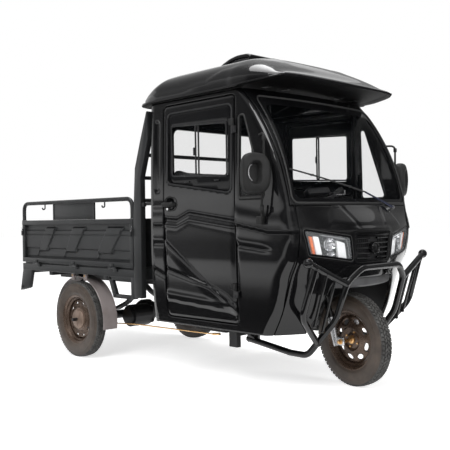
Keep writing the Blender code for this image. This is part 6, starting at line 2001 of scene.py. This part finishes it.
def finish_pad(item, folds, node_name, low, high):
    """Presses stitched seams in, smooths the skin and lets it take the CAD solid's place."""
    mesh = item.data
    back = TO_ROW.inverted()
    for vertex in mesh.vertices:
        spot = back @ vertex.co
        spot -= vertex.normal * folds(spot)
        vertex.co = TO_ROW @ Vector(min(max(a, least), most)
                                    for a, least, most in zip(spot, low, high))
    shape = bmesh.new()
    shape.from_mesh(mesh)
    bmesh.ops.smooth_vert(shape, verts=shape.verts, factor=0.4, use_axis_x=True,
                          use_axis_y=True, use_axis_z=True)
    shape.to_mesh(mesh)
    shape.free()
    mesh.materials.clear()
    mesh.materials.append(SEAT)
    mesh.shade_smooth()
    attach(item, "vehicle")
    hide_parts(node_name)


def cushion_folds(spot):
    """Depth of two lengthwise seams and a front piping line."""
    if spot.z <= 0.655:
        return 0.0
    return max(0.006 * ridge(spot.x + 0.14, 0.006), 0.006 * ridge(spot.x - 0.14, 0.006),
               0.005 * ridge(spot.y - 0.690, 0.006))


def back_folds(spot):
    """Depth of two upright seams and a cross seam below the head rest."""
    if spot.y >= 1.075:
        return 0.0
    return max(0.006 * ridge(spot.x + 0.14, 0.006), 0.006 * ridge(spot.x - 0.14, 0.006),
               0.007 * ridge(spot.z - 1.080, 0.007))


def build_seats():
    """Cushion and back rest."""
    cushion = padded_mesh("cushion_skin", (-0.392, 0.648, 0.607), (0.392, 1.002, 0.688), 0.026)
    finish_pad(cushion, cushion_folds, "seat_cushion", (-0.400, 0.640, 0.6004),
               (0.400, 1.010, 0.7165))
    rest = padded_mesh("backrest_skin", (-0.392, 1.052, 0.712), (0.392, 1.113, 1.252), 0.024)
    back = TO_ROW.inverted()
    for vertex in rest.data.vertices:
        spot = back @ vertex.co
        share = (1.26 - spot.z) / 0.56
        if spot.y < 1.095:
            spot.y -= 0.030 * share
        vertex.co = TO_ROW @ spot
    finish_pad(rest, back_folds, "seat_back", (-0.400, 1.004, 0.7005),
               (0.400, 1.1196, 1.262))


build_seats()


# Stage: pale floor, soft studio light and the photograph's camera

FLOOR_LIFT = 0.66
WORLD_LIGHT = 0.42


def clear_rays(tree):
    """1 for camera, glossy and transmission rays, 0 for all others."""
    rays = tree.nodes.new("ShaderNodeLightPath")
    seen = rays.outputs["Is Camera Ray"]
    for kind in ("Is Glossy Ray", "Is Transmission Ray"):
        either = tree.nodes.new("ShaderNodeMath")
        either.operation = "MAXIMUM"
        tree.links.new(seen, either.inputs[0])
        tree.links.new(rays.outputs[kind], either.inputs[1])
        seen = either.outputs[0]
    return seen


def build_floor():
    """A wide pale floor that stays white to the camera but keeps the vehicle's shadow."""
    shape = bmesh.new()
    bmesh.ops.create_grid(shape, x_segments=1, y_segments=1, size=40)
    mesh = mesh_of("studio_floor", shape)
    floor = new_object("studio_floor", mesh)
    material, shader = new_material("studio_floor")
    tone = two_tone(material, grain(material, 0.8), (0.80, 0.80, 0.80), (0.82, 0.82, 0.82))
    wire(material, tone, shader.inputs["Base Color"])
    put(shader, Roughness=0.9, Specular_IOR_Level=0.0)
    lift = node(material, "ShaderNodeMath", (("operation", "MULTIPLY"),))
    lift.inputs[1].default_value = FLOOR_LIFT
    wire(material, clear_rays(material.node_tree), lift.inputs[0])
    put(shader, Emission_Color=(1, 1, 1, 1))
    wire(material, lift.outputs[0], shader.inputs["Emission Strength"])
    mesh.materials.append(material)


def build_world():
    """White to the camera, in reflections and through glass; soft grey to everything else."""
    world = bpy.data.worlds.new("studio")
    bpy.context.scene.world = world
    world.use_nodes = True
    tree = world.node_tree
    shade = tree.nodes["Background"]
    level = tree.nodes.new("ShaderNodeMapRange")
    put(level, To_Min=WORLD_LIGHT, To_Max=1.0)
    tree.links.new(clear_rays(tree), level.inputs["Value"])
    shade.inputs["Color"].default_value = (1, 1, 1, 1)
    tree.links.new(level.outputs["Result"], shade.inputs["Strength"])


def ramp_of(material, place, stops):
    """A grey ramp over one coordinate, from position and level pairs."""
    ramp = node(material, "ShaderNodeValToRGB")
    wire(material, place, ramp.inputs["Fac"])
    while len(ramp.color_ramp.elements) < len(stops):
        ramp.color_ramp.elements.new(0.5)
    for element, (spot, level) in zip(ramp.color_ramp.elements, stops):
        element.position = spot
        element.color = (level, level, level, 1)
    return ramp.outputs["Color"]


def build_card(name, corner, across, up, stops, rows):
    """A dark card that glows in soft bright bands, seen in polished surfaces only: painted
    reflections that light nothing.
    """
    shape = bmesh.new()
    ends = ((0, 0), (1, 0), (1, 1), (0, 1))
    face = shape.faces.new([shape.verts.new(
        TO_ROW @ (Vector(corner) + Vector(across) * u + Vector(up) * v)) for u, v in ends])
    layer = shape.loops.layers.uv.new("card")
    for loop, place in zip(face.loops, ends):
        loop[layer].uv = place
    mesh = mesh_of(name, shape)
    item = new_object(name, mesh)
    for kind in ("camera", "diffuse", "shadow", "transmission"):
        setattr(item, "visible_" + kind, False)
    material, shader = new_material(name)
    place = node(material, "ShaderNodeUVMap")
    split = node(material, "ShaderNodeSeparateXYZ")
    wire(material, place.outputs["UV"], split.inputs[0])
    blend = node(material, "ShaderNodeMath", (("operation", "ADD"),))
    wire(material, ramp_of(material, split.outputs["X"], stops), blend.inputs[0])
    wire(material, ramp_of(material, split.outputs["Y"], rows), blend.inputs[1])
    put(shader, Base_Color=(0, 0, 0, 1), Specular_IOR_Level=0.0, Emission_Color=(1, 1, 1, 1))
    wire(material, blend.outputs[0], shader.inputs["Emission Strength"])
    mesh.materials.append(material)


def add_light(name, place, target, width, height, power):
    """A soft box that faces a target."""
    lamp = bpy.data.lights.new(name, "AREA")
    lamp.shape = "RECTANGLE"
    lamp.size = width
    lamp.size_y = height
    lamp.energy = power
    item = new_object(name, lamp)
    item.location = TO_ROW @ Vector(place)
    way = TO_ROW @ Vector(target) - item.location
    item.rotation_euler = way.to_track_quat("-Z", "Y").to_euler()


def build_camera():
    """The photograph's camera: 58.9 mm lens, fitted to the square picture."""
    yaw, pitch, roll = 0.79864, -0.0091300, -0.0160686
    forward = Vector((math.cos(yaw) * math.cos(pitch), math.sin(yaw) * math.cos(pitch),
                      math.sin(pitch)))
    right = Vector((math.sin(yaw), -math.cos(yaw), 0))
    up = right.cross(forward)
    across = right * math.cos(roll) + up * math.sin(roll)
    upward = up * math.cos(roll) - right * math.sin(roll)
    camera = bpy.data.cameras.new("camera")
    camera.sensor_width = 36
    camera.lens = 58.87
    camera.clip_end = 200
    item = new_object("camera", camera)
    turn = Matrix((across, upward, -forward)).transposed().to_4x4()
    place = TO_ROW @ Vector((-3.35192, -2.39708, 0.94000))
    item.matrix_world = Matrix.Translation(place) @ turn
    bpy.context.scene.camera = item


build_floor()
build_world()
build_camera()
# Glowing cards seen only in reflections: their bright bands paint highlights and their dark fields
# paint dark reflections on the polished body.
build_card("side_card", (-3.2, -2.6, 0.0), (0, 11.6, 0), (0, 0, 3.4),
           ((0.0, 0.50), (0.06, 0.02), (0.42, 0.02), (0.52, 0.25), (0.60, 0.25), (1.0, 0.10)),
           ((0.0, 0.60), (0.04, 1.60), (0.10, 1.50), (0.13, 0.06), (0.20, 0.10), (0.30, 1.30),
            (0.36, 1.70), (0.43, 1.00), (0.48, 0.03), (0.72, 0.03), (1.0, 0.60)))
build_card("floor_card", (-1.1, -2.6, 0.002), (0, 11.6, 0), (-2.1, 0, 0),
           ((0.0, 0.02), (1.0, 0.02)), ((0.0, 0.02), (0.60, 0.06), (1.0, 0.60)))
build_card("front_floor_card", (-3.2, -0.9, 0.003), (11.6, 0, 0), (0, -2.7, 0),
           ((0.0, 0.02), (1.0, 0.02)), ((0.0, 0.02), (0.60, 0.05), (1.0, 0.50)))
build_card("front_card", (-2.9, -3.6, 0.0), (11.3, 0, 0), (0, 0, 5.9),
           ((0.0, 0.70), (0.10, 0.90), (0.20, 0.03), (0.50, 0.04), (1.0, 0.10)),
           ((0.0, 0.20), (0.10, 0.03), (0.30, 0.60), (0.42, 0.03), (0.60, 0.03), (1.0, 0.25)))
build_card("far_card", (8.4, -4.0, 0.0), (0, 16.0, 0), (0, 0, 6.0),
           ((0.0, 0.15), (1.0, 0.15)), ((0.0, 0.25), (0.30, 0.10), (1.0, 0.20)))
build_card("ceiling_card", (-6.0, -7.0, 6.0), (12.0, 0, 0), (0, 16.0, 0),
           ((0.0, 0.25), (0.5, 0.20), (1.0, 0.25)), ((0.0, 0.20), (0.5, 0.25), (1.0, 0.20)))
add_light("key_left", (-4.5, -1.0, 4.2), (0, 1.2, 0.8), 3.0, 3.0, 260)
add_light("top", (0, 1.2, 5.5), (0, 1.2, 0.8), 5.0, 3.0, 260)
add_light("front", (1.5, -5.5, 3.0), (0, 0.6, 0.8), 3.0, 2.4, 160)
bpy.context.scene.view_settings.view_transform = "Standard"
